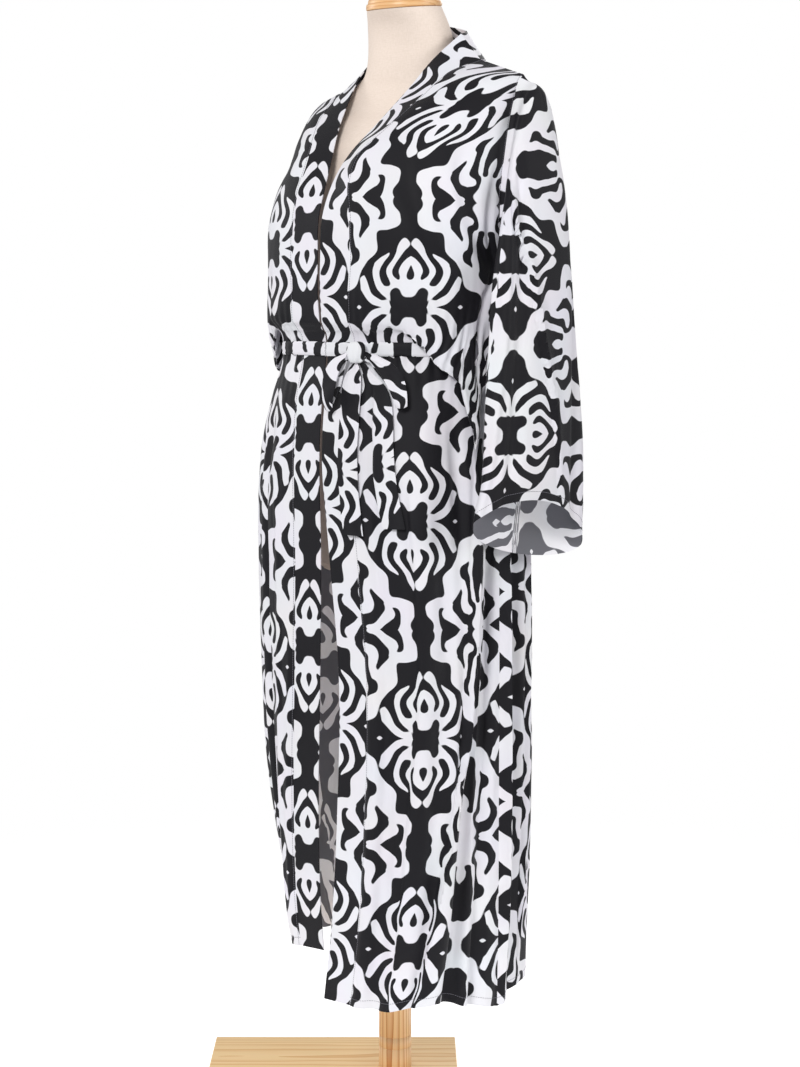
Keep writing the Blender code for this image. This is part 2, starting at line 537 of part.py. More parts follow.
def wall(name, grid, normals, thick, material, closed=False):
    """A closed wall: the grid is its right side, and thick lies on the wrong side."""
    rows, columns = grid.shape[:2]
    outer = grid.reshape(-1, 3)
    inner = (grid - normals * thick).reshape(-1, 3)
    count = rows * columns
    spans = columns if closed else columns - 1
    faces = []
    for i in range(rows - 1):
        for j in range(spans):
            k = (j + 1) % columns
            a, b = i * columns + j, i * columns + k
            c, d = (i + 1) * columns + k, (i + 1) * columns + j
            faces += [(a, b, c), (a, c, d)]
            faces += [(a + count, c + count, b + count), (a + count, d + count, c + count)]
    for i in (0, rows - 1):
        for j in range(spans):
            k = (j + 1) % columns
            a, b = i * columns + j, i * columns + k
            faces.append((a, a + count, b + count, b))
    if not closed:
        for j in (0, columns - 1):
            for i in range(rows - 1):
                a, b = i * columns + j, (i + 1) * columns + j
                faces.append((a, b, b + count, a + count))
    return mesh_object(name, np.concatenate([outer, inner]), faces, material)


def coat_grids():
    counts = row_counts()
    front_left = spline_rows([front_section(row, DROP_LEFT, HEM_LEFT) for row in LEFT], counts)
    front_right = spline_rows([front_section(row, DROP_RIGHT, HEM_RIGHT) for row in RIGHT], counts)
    back = spline_rows([back_section(index) for index in range(len(BACK))], counts)
    band_left = band_grid(front_left, LEFT)
    band_right = band_grid(front_right, RIGHT)
    names = [row.name for row in LEFT]
    first_row = sum(counts[:names.index("underarm")])
    sleeve_left = sleeve_grid(front_left, back[:, 0], SLEEVE_LEFT, first_row)
    sleeve_right = sleeve_grid(front_right, back[:, -1], SLEEVE_RIGHT, first_row)
    band_neck = neck_grid(band_left, band_right, back)
    return {
        "front_left": (front_left, False, 1.0),
        "front_right": (front_right, False, -1.0),
        "back": (back, False, 1.0),
        "sleeve_left": (sleeve_left, True, 1.0),
        "sleeve_right": (sleeve_right, True, -1.0),
        "band_left": (band_left, False, 1.0),
        "band_right": (band_right, False, -1.0),
        "band_neck": (band_neck, False, 1.0),
    }


def make_coat():
    """Builds the coat's eight cloth pieces, and gives their grids to the belt and bow."""
    pieces = {}
    for name, (grid, closed, sense) in coat_grids().items():
        normals = wall_normals(grid, closed) * sense
        grid = add_folds(name, grid, normals)
        pieces[name] = (grid, wall_normals(grid, closed) * sense, closed)
    share_normals(pieces.values())
    for name, (grid, normals, closed) in pieces.items():
        wall(name, draw_back(grid, closed), normals, CLOTH, print_cloth(), closed)
    return pieces


def make_belt(pieces):
    """A flat ring round the waist, from the cloth's own points under it, moved out."""
    names = [row.name for row in LEFT]
    row = sum(row_counts()[:names.index("belt_low")])
    ring = np.concatenate([
        pieces["band_left"][0][row, :-1],
        pieces["front_left"][0][row, :-1],
        pieces["back"][0][row, :-1],
        pieces["front_right"][0][row, ::-1][:-1],
        pieces["band_right"][0][row, ::-1],
    ])
    side = np.roll(ring, -1, axis=0) - np.roll(ring, 1, axis=0)
    out = np.stack([side[:, 1], -side[:, 0], np.zeros(len(ring))], axis=1)
    out /= np.linalg.norm(out, axis=1, keepdims=True)
    outer = ring + out * (SEAM_GAP + BELT_THICK)
    low, high = outer.copy(), outer.copy()
    low[:, 2], high[:, 2] = BELT_LOW, BELT_HIGH
    grid = np.array([low, high])
    normals = np.array([out, out])
    wall("belt", grid, normals, BELT_THICK, print_cloth(), closed=True)


def front_point(pieces, across, height, out):
    """A point on the left front's right side: across is metres from the band's free edge."""
    grid = np.concatenate([pieces["band_left"][0][:, :-1], pieces["front_left"][0]], axis=1)
    names = [row.name for row in LEFT]
    last = sum(row_counts()[:names.index("mouth")]) + 1
    line = np.array([[np.interp(height, grid[:last, j, 2], grid[:last, j, axis]) for axis in range(3)]
                     for j in range(grid.shape[1])])
    steps = np.linalg.norm(np.diff(line, axis=0), axis=1)
    along = np.concatenate([[0.0], np.cumsum(steps)])
    here = np.array([np.interp(across, along, line[:, axis]) for axis in range(3)])
    near = np.array([np.interp(across + 0.012, along, line[:, axis]) for axis in range(3)])
    back = np.array([np.interp(across - 0.012, along, line[:, axis]) for axis in range(3)])
    side = near - back
    normal = np.array((side[1], -side[0], 0.0))
    normal /= np.linalg.norm(normal)
    if across < 0.0:
        here = here + (across / np.linalg.norm(side)) * side
    return here + normal * out, normal


def strip(name, rows, pieces):
    """A flat strip of cloth over the front, along its table of rows."""
    grid, normals = [], []
    for row in rows:
        places = [row.across + row.wide * (j / STRIP_COLUMNS - 0.5) for j in range(STRIP_COLUMNS + 1)]
        line = [front_point(pieces, across, row.height, row.out) for across in places]
        grid.append([point for point, _normal in line])
        normals.append([normal for _point, normal in line])
    grid = np.array(grid)
    flat = wall_normals(grid)
    facing = np.sign(np.sum(flat[0, 0] * np.array(normals[0][0])))
    wall(name, grid, flat * facing, TAIL_THICK, print_cloth())


# The bow's strips, each from the knot: across is metres from the band's free edge.
TAIL_LEFT = (
    Strip(0.0720, 1.1588, 0.0100, 0.008),
    Strip(0.0780, 1.1500, 0.0085, 0.014),
    Strip(0.0880, 1.1380, 0.0075, 0.024),
    Strip(0.1000, 1.1220, 0.0070, 0.031),
    Strip(0.1080, 1.1040, 0.0070, TAIL_WIDE),
    Strip(0.1150, 1.0700, 0.0070, TAIL_WIDE),
    Strip(0.1200, 1.0200, 0.0070, TAIL_WIDE),
    Strip(0.1230, 0.9690, 0.0070, TAIL_WIDE),
    Strip(0.1250, 0.9150, 0.0070, TAIL_WIDE),
)
TAIL_RIGHT = (
    Strip(0.0620, 1.1588, 0.0100, 0.008),
    Strip(0.0600, 1.1500, 0.0092, 0.018),
    Strip(0.0575, 1.1370, 0.0085, 0.028),
    Strip(0.0560, 1.1150, 0.0078, TAIL_WIDE),
    Strip(0.0550, 1.0700, 0.0070, TAIL_WIDE),
    Strip(0.0540, 1.0150, 0.0070, TAIL_WIDE),
    Strip(0.0540, 0.9590, 0.0070, TAIL_WIDE),
    Strip(0.0550, 0.9030, 0.0070, TAIL_WIDE),
)
LOOP_RIGHT = (
    Strip(0.0495, 1.1735, 0.0145, 0.006),
    Strip(0.0440, 1.1680, 0.0190, 0.016),
    Strip(0.0360, 1.1580, 0.0220, 0.024),
    Strip(0.0280, 1.1420, 0.0230, LOOP_WIDE),
    Strip(0.0240, 1.1200, 0.0215, LOOP_WIDE),
    Strip(0.0220, 1.0980, 0.0180, LOOP_WIDE),
    Strip(0.0220, 1.0900, 0.0140, LOOP_WIDE),
    Strip(0.0220, 1.0960, 0.0112, LOOP_WIDE),
    Strip(0.0250, 1.1200, 0.0105, LOOP_WIDE),
    Strip(0.0330, 1.1460, 0.0110, 0.022),
    Strip(0.0445, 1.1600, 0.0120, 0.010),
    Strip(0.0514, 1.1630, 0.0125, 0.006),
)
LOOP_LEFT = (
    Strip(0.0840, 1.1735, 0.0145, 0.006),
    Strip(0.0910, 1.1710, 0.0185, 0.014),
    Strip(0.1010, 1.1640, 0.0215, 0.022),
    Strip(0.1160, 1.1540, 0.0230, LOOP_WIDE),
    Strip(0.1300, 1.1320, 0.0230, LOOP_WIDE),
    Strip(0.1400, 1.1040, 0.0190, LOOP_WIDE),
    Strip(0.1420, 1.0960, 0.0150, LOOP_WIDE),
    Strip(0.1400, 1.1020, 0.0120, LOOP_WIDE),
    Strip(0.1290, 1.1270, 0.0112, LOOP_WIDE),
    Strip(0.1100, 1.1480, 0.0120, 0.022),
    Strip(0.0935, 1.1590, 0.0125, 0.010),
    Strip(0.0830, 1.1630, 0.0125, 0.006),
)
STRIP_COLUMNS = 2
KNOT_ACROSS = 0.067
KNOT_HEIGHT = 1.1735
KNOT_HALF = (0.0150, 0.0095, 0.0150)
KNOT_STEPS = 8
KNOT_SIDES = 16


def make_bow(pieces):
    strip("belt_tail_left", TAIL_LEFT, pieces)
    strip("belt_tail_right", TAIL_RIGHT, pieces)
    strip("belt_loop_left", LOOP_LEFT, pieces)
    strip("belt_loop_right", LOOP_RIGHT, pieces)
    out = BELT_THICK + 2.0 * SEAM_GAP + KNOT_HALF[1]
    centre, normal = front_point(pieces, KNOT_ACROSS, KNOT_HEIGHT, out)
    side = np.array((-normal[1], normal[0], 0.0))
    points, faces = [centre - np.array((0.0, 0.0, KNOT_HALF[2]))], []
    for step in range(1, KNOT_STEPS):
        lean = math.pi * step / KNOT_STEPS - math.pi / 2.0
        for turn in range(KNOT_SIDES):
            angle = 2.0 * math.pi * turn / KNOT_SIDES
            across = math.cos(lean) ** 0.6 * KNOT_HALF[0] * math.cos(angle)
            deep = math.cos(lean) ** 0.6 * KNOT_HALF[1] * math.sin(angle)
            rise = math.sin(lean) * KNOT_HALF[2]
            points.append(centre + side * across + normal * deep + np.array((0.0, 0.0, rise)))
    points.append(centre + np.array((0.0, 0.0, KNOT_HALF[2])))
    last = len(points) - 1
    for turn in range(KNOT_SIDES):
        k = (turn + 1) % KNOT_SIDES
        faces.append((0, 1 + k, 1 + turn))
        for step in range(KNOT_STEPS - 2):
            low = 1 + step * KNOT_SIDES
            faces.append((low + turn, low + k, low + KNOT_SIDES + k, low + KNOT_SIDES + turn))
        top = 1 + (KNOT_STEPS - 2) * KNOT_SIDES
        faces.append((top + turn, top + k, last))
    mesh_object("belt_knot", points, faces, print_cloth())


def ring_points(ring, tilt=0.0):
    """One level section of the dress form, tilted forward by tilt."""
    points = []
    for turn in range(TORSO_SIDES):
        angle = 2.0 * math.pi * turn / TORSO_SIDES
        power = 2.0 / ring.square
        sine, cosine = math.sin(angle), math.cos(angle)
        x = ring.half_wide * math.copysign(abs(sine) ** power, sine)
        deep = ring.front_deep if cosine > 0.0 else ring.back_deep
        y = -deep * math.copysign(abs(cosine) ** power, cosine)
        points.append((x, ring.middle_y + y, ring.z + y * math.sin(tilt)))
    return points


def stacked(name, rings, material):
    """A solid through rings of the same number of points, with flat ends."""
    sides = len(rings[0])
    points = [point for ring in rings for point in ring]
    faces = [tuple(range(sides)), tuple(range(len(points) - sides, len(points)))]
    for low in range(len(rings) - 1):
        for turn in range(sides):
            k = (turn + 1) % sides
            a, b = low * sides + turn, low * sides + k
            faces.append((a, b, b + sides, a + sides))
    return mesh_object(name, points, faces, material)


def make_form():
    rings = [ring_points(ring) for ring in TORSO[:-1]]
    rings.append(ring_points(TORSO[-1], NECK_TILT))
    stacked("form_torso", rings, form_cover())
    top = TORSO[-1]
    cap = []
    for step in range(CAP_STEPS + 1):
        if step == 0:
            radius, rise = CAP_RADIUS, SEAM_GAP * 1.5
        else:
            angle = math.pi / 2.0 * (step - 1) / CAP_STEPS
            radius = CAP_RADIUS * math.cos(angle)
            rise = CAP_EDGE + CAP_RISE * math.sin(angle)
        ring = Ring(top.z + rise, top.middle_y, radius, radius, radius, 2.0)
        cap.append(ring_points(ring, NECK_TILT))
    stacked("neck_cap", cap, pine())


def turned(name, low, high):
    """A plain round piece of the pole between two heights."""
    rings = []
    for z in (low, high):
        angles = [2.0 * math.pi * turn / STAND_SIDES for turn in range(STAND_SIDES)]
        rings.append([(POLE_RADIUS * math.cos(a), POLE_RADIUS * math.sin(a), z) for a in angles])
    stacked(name, rings, pine())


def make_stand():
    mesh = bpy.data.meshes.new("base")
    board = bmesh.new()
    bmesh.ops.create_cube(board, size=1.0)
    bmesh.ops.scale(board, vec=(BASE_LONG, BASE_DEEP, BASE_THICK), verts=board.verts)
    bmesh.ops.bevel(board, geom=board.edges[:], offset=BASE_BEVEL, segments=1, affect="EDGES")
    bmesh.ops.translate(board, vec=(-BASE_SHIFT, 0.0, BASE_THICK / 2.0), verts=board.verts)
    board.to_mesh(mesh)
    board.free()
    base = new_object("base", mesh, pine())
    base.rotation_euler = (0.0, 0.0, BASE_TURN)
    turned("pole_foot", BASE_THICK + SEAM_GAP, FOOT_TOP)
    turned("pole_collar", FOOT_TOP + SEAM_GAP, COLLAR_TOP)
    turned("pole", COLLAR_TOP + SEAM_GAP, POLE_TOP)


def main():
    clear_scene()
    make_stand()
    make_form()
    pieces = make_coat()
    make_belt(pieces)
    make_bow(pieces)


main()
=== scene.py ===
"""A long printed kimono coat with a tied belt, on a linen dress form and its pine stand.

Metres, +Z up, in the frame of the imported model: the pole's axis is at x = y = 0 on the
floor, the coat's front looks along -Y, and the wearer's left is +X. The cloth is worked
out from the same tables as the part's solids, with finer rows and more folds.
"""
import math
from collections import namedtuple

import bmesh
import bpy
import numpy as np
from mathutils import Matrix, Vector, noise

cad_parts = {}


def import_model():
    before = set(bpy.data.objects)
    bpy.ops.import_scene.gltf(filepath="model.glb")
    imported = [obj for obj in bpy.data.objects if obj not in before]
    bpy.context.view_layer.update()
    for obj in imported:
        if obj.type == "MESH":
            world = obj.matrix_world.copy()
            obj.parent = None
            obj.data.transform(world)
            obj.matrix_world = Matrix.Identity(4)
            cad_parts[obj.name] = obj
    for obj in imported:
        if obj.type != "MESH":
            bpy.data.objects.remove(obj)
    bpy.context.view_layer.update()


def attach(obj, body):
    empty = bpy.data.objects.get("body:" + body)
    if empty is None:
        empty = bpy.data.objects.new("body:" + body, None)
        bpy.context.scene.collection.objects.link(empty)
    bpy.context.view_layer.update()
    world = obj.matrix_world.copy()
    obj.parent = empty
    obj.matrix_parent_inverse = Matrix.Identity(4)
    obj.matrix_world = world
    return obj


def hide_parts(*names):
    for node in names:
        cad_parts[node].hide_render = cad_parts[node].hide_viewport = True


# how thick the cloth is drawn, single, in the doubled band, and in the gathered bow
CLOTH = 0.0008
BAND_CLOTH = 0.0014
STRIP_CLOTH = 0.0016
# rows here for each row of the solids
ROWS_FINE = 6

# belt and bow
BELT_THICK = 0.0030
BELT_MIDDLE = 1.1770
BELT_HALF_HIGH = 0.0105
STRIP_COLUMNS = 10
STRIP_FINE = 6

# stand
BASE_LONG = 0.400
BASE_DEEP = 0.300
BASE_THICK = 0.022
BASE_SHIFT = 0.100
BASE_TURN = math.radians(40.0)
BASE_ROUND = 0.0016
POLE_RADIUS = 0.026
FOOT_TOP = 0.059
COLLAR_TOP = 0.0775
POLE_TOP = 0.828
GROOVE = 0.0006

# how fast a fold rises at its ends and beside a seam
FOLD_START = 0.10
FOLD_END = 0.04
FOLD_EDGE = 0.03

# counts across the pieces
FRONT_COLUMNS = 116
BAND_COLUMNS = 8
NECK_COLUMNS = 12
NECK_SHARE = 0.42
TORSO_SIDES = 144
TURNED_SIDES = 96
QUARTER_POINTS = 61
TINY = 1e-12
SMALL_GAP = 1e-6
SHARP_ANGLE = math.radians(50.0)

Front = namedtuple("Front", "name edge seam side square rows", defaults=(None,))
Back = namedtuple("Back", "name middle square left right", defaults=(None, None))
Hang = namedtuple("Hang", "outer front inner back")
Fold = namedtuple("Fold", "piece top_across top_z low_across low_z wide high")
Ring = namedtuple("Ring", "z middle_y half_wide front_deep back_deep square")
Strip = namedtuple("Strip", "across height out wide")


def metres(size):
    """Millimetres as metres: a number, a point or None."""
    if isinstance(size, tuple):
        return tuple(value / 1000.0 for value in size)
    return None if size is None else size / 1000.0


def table(kind, lengths, rows):
    """Plain rows as named ones. The columns named in lengths are in millimetres."""
    named = [kind(*row) for row in rows]
    return tuple(row._replace(**{name: metres(getattr(row, name)) for name in lengths.split()})
                 for row in named)


# Left front, hem to shoulder. edge is the free edge of the band, seam is where the band
# meets the front, side is the side seam and then the armhole, square is how square the
# section is, and rows is the number of rows up to the next section, here and in the tables
# of the right front and the back.
LEFT = table(Front, "edge seam side", (
    ("hem", (14, -186, 184), (66, -186, 184), (198, 10, 162), 2.5, 2),
    ("shin", (34, -190, 312), (87, -190, 312), (200, 10, 312), 2.5, 2),
    ("knee", (46, -190, 489), (99, -189, 489), (200, 10, 489), 2.5, 2),
    ("thigh", (48, -188, 685), (101, -187, 685), (200, 10, 685), 2.5, 2),
    ("cuff", (22, -181, 879), (75, -181, 879), (198, 10, 879), 2.5, 2),
    ("hip", (0, -171, 1010), (53, -171, 1010), (195, 10, 1010), 2.4, 2),
    ("below", (-6, -158, 1100), (46, -157, 1100), (189, 8, 1100), 2.3, 1),
    ("belt_low", (-14, -142, 1160), (36, -141, 1160), (177, 5, 1160), 2.2, 1),
    ("belt_high", (-14, -142, 1193), (36, -141, 1193), (177, 5, 1193), 2.2, 1),
    ("mouth", (-14, -145, 1202), (37, -145, 1202), (180, 5, 1202), 2.2, 1),
    ("top", (-14, -148, 1205), (37, -148, 1205), (183, 5, 1205), 2.2, 1),
    ("down", (-14, -150, 1208), (38, -150, 1208), (186, 5, 1208), 2.2, 1),
    ("low", (-14, -152, 1211), (38, -152, 1211), (188, 5, 1211), 2.2, 1),
    ("bottom", (-13, -154, 1214), (39, -154, 1214), (191, 5, 1214), 2.2, 1),
    ("rise", (-13, -156, 1218), (39, -156, 1218), (194, 5, 1218), 2.2, 1),
    ("up", (-13, -157, 1227), (40, -157, 1227), (196, 6, 1227), 2.3, 1),
    ("blouse", (-13, -160, 1257), (42, -160, 1254), (201, 12, 1251), 2.4, 1),
    ("underarm", (-12, -160, 1313), (46, -160, 1308), (203, 30, 1290), 2.4, 1),
    ("low_chest", (-10, -158, 1372), (46, -160, 1367), (206, 0, 1346), 2.4, 2),
    ("roll", (-6, -138, 1426), (40, -156, 1424), (208, -2, 1421), 2.3, 1),
    ("chest", (4, -112, 1469), (46, -142, 1465), (208, 6, 1465), 2.2, 2),
    ("high_chest", (36, -83, 1516), (78, -115, 1504), (206, 20, 1516), 2.1, 1),
    ("collarbone", (66, -46, 1568), (104, -72, 1547), (206, 32, 1552), 2.0, 1),
    ("collar", (80, -6, 1613), (118, -22, 1588), (207, 40, 1575), 2.0, 1),
    ("shoulder", (94, 45, 1655), (130, 47, 1614), (208, 52, 1587), 2.0, 0),
))

# Right front, the same heights, in the wearer's right half.
RIGHT = table(Front, "edge seam side", (
    ("hem", (-6, -164, 251), (-56, -162, 249), (-130, 16, 235), 2.3),
    ("shin", (-6, -172, 333), (-58, -170, 333), (-146, 14, 323), 2.3),
    ("knee", (-2, -180, 489), (-54, -179, 489), (-174, 10, 489), 2.3),
    ("thigh", (4, -182, 685), (-49, -181, 685), (-192, 10, 685), 2.4),
    ("cuff", (3, -178, 879), (-50, -177, 879), (-200, 8, 879), 2.5),
    ("hip", (-7, -170, 1010), (-60, -168, 1010), (-197, 8, 1010), 2.5),
    ("below", (-12, -158, 1100), (-64, -155, 1100), (-187, 8, 1100), 2.3),
    ("belt_low", (-18, -142, 1160), (-68, -136, 1160), (-177, 5, 1160), 2.2),
    ("belt_high", (-18, -142, 1193), (-68, -136, 1193), (-177, 5, 1193), 2.2),
    ("mouth", (-18, -145, 1202), (-69, -140, 1202), (-180, 5, 1202), 2.2),
    ("top", (-18, -148, 1205), (-70, -143, 1205), (-183, 5, 1205), 2.2),
    ("down", (-18, -150, 1208), (-70, -145, 1208), (-186, 5, 1208), 2.2),
    ("low", (-18, -152, 1211), (-71, -147, 1211), (-188, 5, 1211), 2.2),
    ("bottom", (-18, -154, 1214), (-71, -150, 1214), (-191, 5, 1214), 2.2),
    ("rise", (-18, -156, 1218), (-72, -153, 1218), (-194, 5, 1218), 2.2),
    ("up", (-18, -157, 1227), (-72, -155, 1227), (-197, 6, 1227), 2.3),
    ("blouse", (-18, -160, 1257), (-72, -156, 1254), (-198, 12, 1251), 2.3),
    ("underarm", (-18, -160, 1313), (-73, -156, 1308), (-202, 42, 1293), 2.3),
    ("low_chest", (-20, -155, 1372), (-74, -152, 1367), (-203, 20, 1346), 2.2),
    ("roll", (-25, -134, 1421), (-74, -140, 1416), (-203, 18, 1416), 1.9),
    ("chest", (-32, -112, 1461), (-75, -121, 1455), (-198, 24, 1455), 1.7),
    ("high_chest", (-43, -84, 1507), (-85, -94, 1494), (-193, 36, 1500), 1.7),
    ("collarbone", (-56, -48, 1550), (-99, -60, 1530), (-192, 46, 1530), 1.7),
    ("collar", (-66, -10, 1592), (-108, -16, 1564), (-194, 52, 1548), 1.8),
    ("shoulder", (-80, 45, 1630), (-118, 47, 1592), (-196, 58, 1562), 2.0),
))

# Back, the same heights: the middle of the back, and each armhole's back edge. The first
# rows use the fronts' side seams.
BACK = table(Back, "middle left right", (
    ("hem", (14, 166, 213), 2.3),
    ("shin", (10, 174, 312), 2.3),
    ("knee", (4, 180, 489), 2.4),
    ("thigh", (0, 181, 685), 2.4),
    ("cuff", (0, 178, 879), 2.4),
    ("hip", (0, 170, 1010), 2.4),
    ("below", (0, 158, 1100), 2.3),
    ("belt_low", (0, 140, 1160), 2.2),
    ("belt_high", (0, 140, 1193), 2.2),
    ("mouth", (0, 144, 1202), 2.2),
    ("top", (0, 147, 1205), 2.2),
    ("down", (0, 150, 1208), 2.2),
    ("low", (0, 152, 1211), 2.2),
    ("bottom", (0, 155, 1214), 2.2),
    ("rise", (0, 158, 1218), 2.2),
    ("up", (0, 160, 1227), 2.3),
    ("blouse", (0, 162, 1255), 2.4),
    ("underarm", (0, 163, 1308), 2.4),
    ("low_chest", (0, 162, 1367), 2.4, (208, 72, 1346), (-203, 90, 1346)),
    ("roll", (0, 158, 1426), 2.3, (210, 104, 1421), (-204, 118, 1416)),
    ("chest", (0, 154, 1469), 2.2, (209, 112, 1465), (-201, 124, 1455)),
    ("high_chest", (0, 148, 1520), 2.1, (207, 104, 1516), (-197, 114, 1500)),
    ("collarbone", (0, 138, 1562), 2.0, (206, 84, 1552), (-195, 94, 1530)),
    ("collar", (0, 128, 1590), 2.0, (207, 66, 1575), (-195, 74, 1548)),
    ("shoulder", (0, 114, 1626), 2.0),
))

# The band where it stands behind the neck, from the left shoulder round to the right.
NECK_EDGE_MIDDLE = (0.004, 0.104, 1.680)

# How far the blouse hangs over the belt, by the share of the way across each piece.
DROP_LEFT = ((0.0, 0.0), (0.28, 0.0), (0.357, 0.006), (0.429, 0.020), (0.50, 0.040), (0.571, 0.062),
             (0.65, 0.074), (0.715, 0.088), (0.786, 0.186), (0.857, 0.105), (1.0, 0.070))
DROP_RIGHT = ((0.0, 0.0), (0.30, 0.0), (0.45, 0.030), (0.60, 0.070), (0.80, 0.088), (1.0, 0.070))
DROP_BACK = ((0.0, 0.070), (0.12, 0.060), (0.35, 0.045), (0.65, 0.045), (0.88, 0.060), (1.0, 0.070))
# The share of the drop that each section takes.
DROP_SHARE = {"down": 0.46, "low": 0.93, "bottom": 1.0, "rise": 0.95, "up": 0.58}
FLARE_PER_DROP = 0.13
FLARE_FROM = 1.165

# How far the hem rises above a straight line, by the share of the way across each front.
HEM_LEFT = ((0.0, 0.0), (0.2, 0.002), (0.5, 0.024), (0.75, 0.010), (1.0, 0.0))
HEM_RIGHT = ((0.0, 0.0), (1.0, 0.0))

# Sleeves from the shoulder to the cuff: the outermost, foremost, innermost and rearmost
# points of each section.
SLEEVE_LEFT = table(Hang, "outer front inner back", (
    ((234, 54, 1568), (224, -14, 1402), (216, 34, 1278), (224, 114, 1398)),
    ((250, 56, 1494), (232, -38, 1346), (217, 38, 1251), (232, 116, 1344)),
    ((261, 60, 1397), (237, -60, 1269), (217, 42, 1199), (238, 122, 1269)),
    ((267, 58, 1269), (240, -72, 1179), (216, 42, 1120), (242, 132, 1179)),
    ((272, 46, 1130), (243, -82, 1080), (214, 38, 1020), (245, 143, 1075)),
    ((276, 34, 1020), (245, -92, 987), (213, 30, 934), (247, 150, 958)),
    ((278, 24, 951), (246, -112, 926), (213, 20, 870), (248, 153, 873)),
))
SLEEVE_RIGHT = table(Hang, "outer front inner back", (
    ((-244, 92, 1545), (-236, 26, 1388), (-226, 48, 1268), (-236, 128, 1386)),
    ((-254, 102, 1476), (-242, 26, 1335), (-226, 60, 1242), (-243, 142, 1335)),
    ((-260, 112, 1377), (-243, 26, 1261), (-224, 82, 1193), (-247, 166, 1261)),
    ((-262, 126, 1249), (-240, 26, 1170), (-221, 100, 1116), (-246, 190, 1170)),
    ((-263, 132, 1120), (-237, 22, 1070), (-218, 110, 1018), (-245, 210, 1066)),
    ((-264, 134, 1010), (-235, 10, 977), (-216, 112, 929), (-245, 228, 965)),
    ((-266, 132, 941), (-234, -2, 916), (-216, 108, 866), (-244, 240, 887)),
))
# Above 1 the sleeve's front and back edges are sharper folds.
SLEEVE_PINCH = 1.25
# The sleeve's first step away from its armhole.
SLEEVE_LEAD = (0.009, 0.0, -0.010)

# Soft ridges, and troughs where high is below zero. across is the share of the way over
# the piece, wide is half the fold's width and high its height.
FOLDS = table(Fold, "top_z low_z wide high", (
    ("front_left", 0.97, 1090, 0.62, 120, 30, -12),
    ("front_left", 0.8, 1090, 0.46, 120, 34, 10),
    ("front_left", 0.1, 1130, 0.16, 120, 26, -8),
    ("front_left", 0.5, 1130, 0.28, 120, 32, 6),
    ("front_right", 0.3, 1130, 0.24, 120, 26, -10),
    ("front_right", 0.52, 1130, 0.5, 120, 26, 9),
    ("front_right", 0.74, 1130, 0.76, 120, 28, -12),
    ("back", 0.08, 1110, 0.1, 120, 26, -12),
    ("back", 0.22, 1130, 0.21, 120, 34, 8),
    ("back", 0.36, 1130, 0.34, 120, 32, -10),
    ("back", 0.5, 1130, 0.5, 120, 36, 7),
    ("back", 0.64, 1130, 0.66, 120, 32, -10),
    ("back", 0.79, 1130, 0.8, 120, 34, 9),
    ("back", 0.91, 1110, 0.9, 120, 28, -13),
    ("front_left", 0.6, 1560, 0.86, 1270, 26, -7),
    ("front_left", 0.3, 1520, 0.62, 1250, 30, 6),
    ("front_right", 0.6, 1520, 0.84, 1270, 26, -6),
    ("back", 0.2, 1520, 0.16, 1270, 32, -7),
    ("back", 0.8, 1520, 0.84, 1270, 32, -7),
))

# The dress form, bottom to neck.
TORSO = table(Ring, "z middle_y half_wide front_deep back_deep", (
    (828.3, 4, 130, 86, 92, 2.1),
    (843, 4, 146, 98, 106, 2.1),
    (889, 2, 160, 108, 118, 2.1),
    (959, 0, 166, 112, 124, 2.1),
    (1040, 0, 156, 104, 112, 2.1),
    (1110, 0, 138, 94, 92, 2.1),
    (1170, 0, 128, 90, 84, 2.1),
    (1229, 0, 132, 98, 86, 2.1),
    (1288, 2, 142, 114, 92, 2.1),
    (1348, 6, 150, 126, 96, 2.2),
    (1397, 10, 156, 122, 98, 2.2),
    (1446, 16, 164, 112, 94, 2.2),
    (1487, 26, 174, 108, 82, 2.2),
    (1517, 36, 182, 96, 70, 2.2),
    (1539.5, 44, 184, 82, 58, 2.1),
    (1557.5, 47, 170, 74, 50, 2.0),
    (1570.5, 47, 140, 70, 48, 2.0),
    (1581, 45, 108, 66, 50, 2.0),
    (1596.5, 41, 82, 62, 60, 2.0),
    (1616, 37, 73, 56, 66, 2.0),
    (1641, 34, 71, 50, 70, 2.0),
    (1669, 29, 67, 50, 66, 2.0),
    (1697, 22, 58, 57, 57, 2.0),
))
NECK_TILT = math.radians(6.0)
CAP_EDGE = 0.010
CAP_RISE = 0.030

# The bow's strips, each from the knot: across is the distance from the band's free edge,
# out how far the strip stands off the cloth.
TAIL_LEFT = table(Strip, "across height out wide", (
    (72, 1158.8, 10, 8),
    (78, 1150, 8.5, 14),
    (88, 1138, 7.5, 24),
    (100, 1122, 7, 31),
    (108, 1104, 7, 33),
    (115, 1070, 7, 33),
    (120, 1020, 7, 33),
    (123, 969, 7, 33),
    (125, 915, 7, 33),
))
TAIL_RIGHT = table(Strip, "across height out wide", (
    (62, 1158.8, 10, 8),
    (60, 1150, 9.2, 18),
    (57.5, 1137, 8.5, 28),
    (56, 1115, 7.8, 33),
    (55, 1070, 7, 33),
    (54, 1015, 7, 33),
    (54, 959, 7, 33),
    (55, 903, 7, 33),
))
LOOP_RIGHT = table(Strip, "across height out wide", (
    (49.5, 1173.5, 14.5, 6),
    (44, 1168, 19, 16),
    (36, 1158, 22, 24),
    (28, 1142, 23, 26),
    (24, 1120, 21.5, 26),
    (22, 1098, 18, 26),
    (22, 1090, 14, 26),
    (22, 1096, 11.2, 26),
    (25, 1120, 10.5, 26),
    (33, 1146, 11, 22),
    (44.5, 1160, 12, 10),
    (51.4, 1163, 12.5, 6),
))
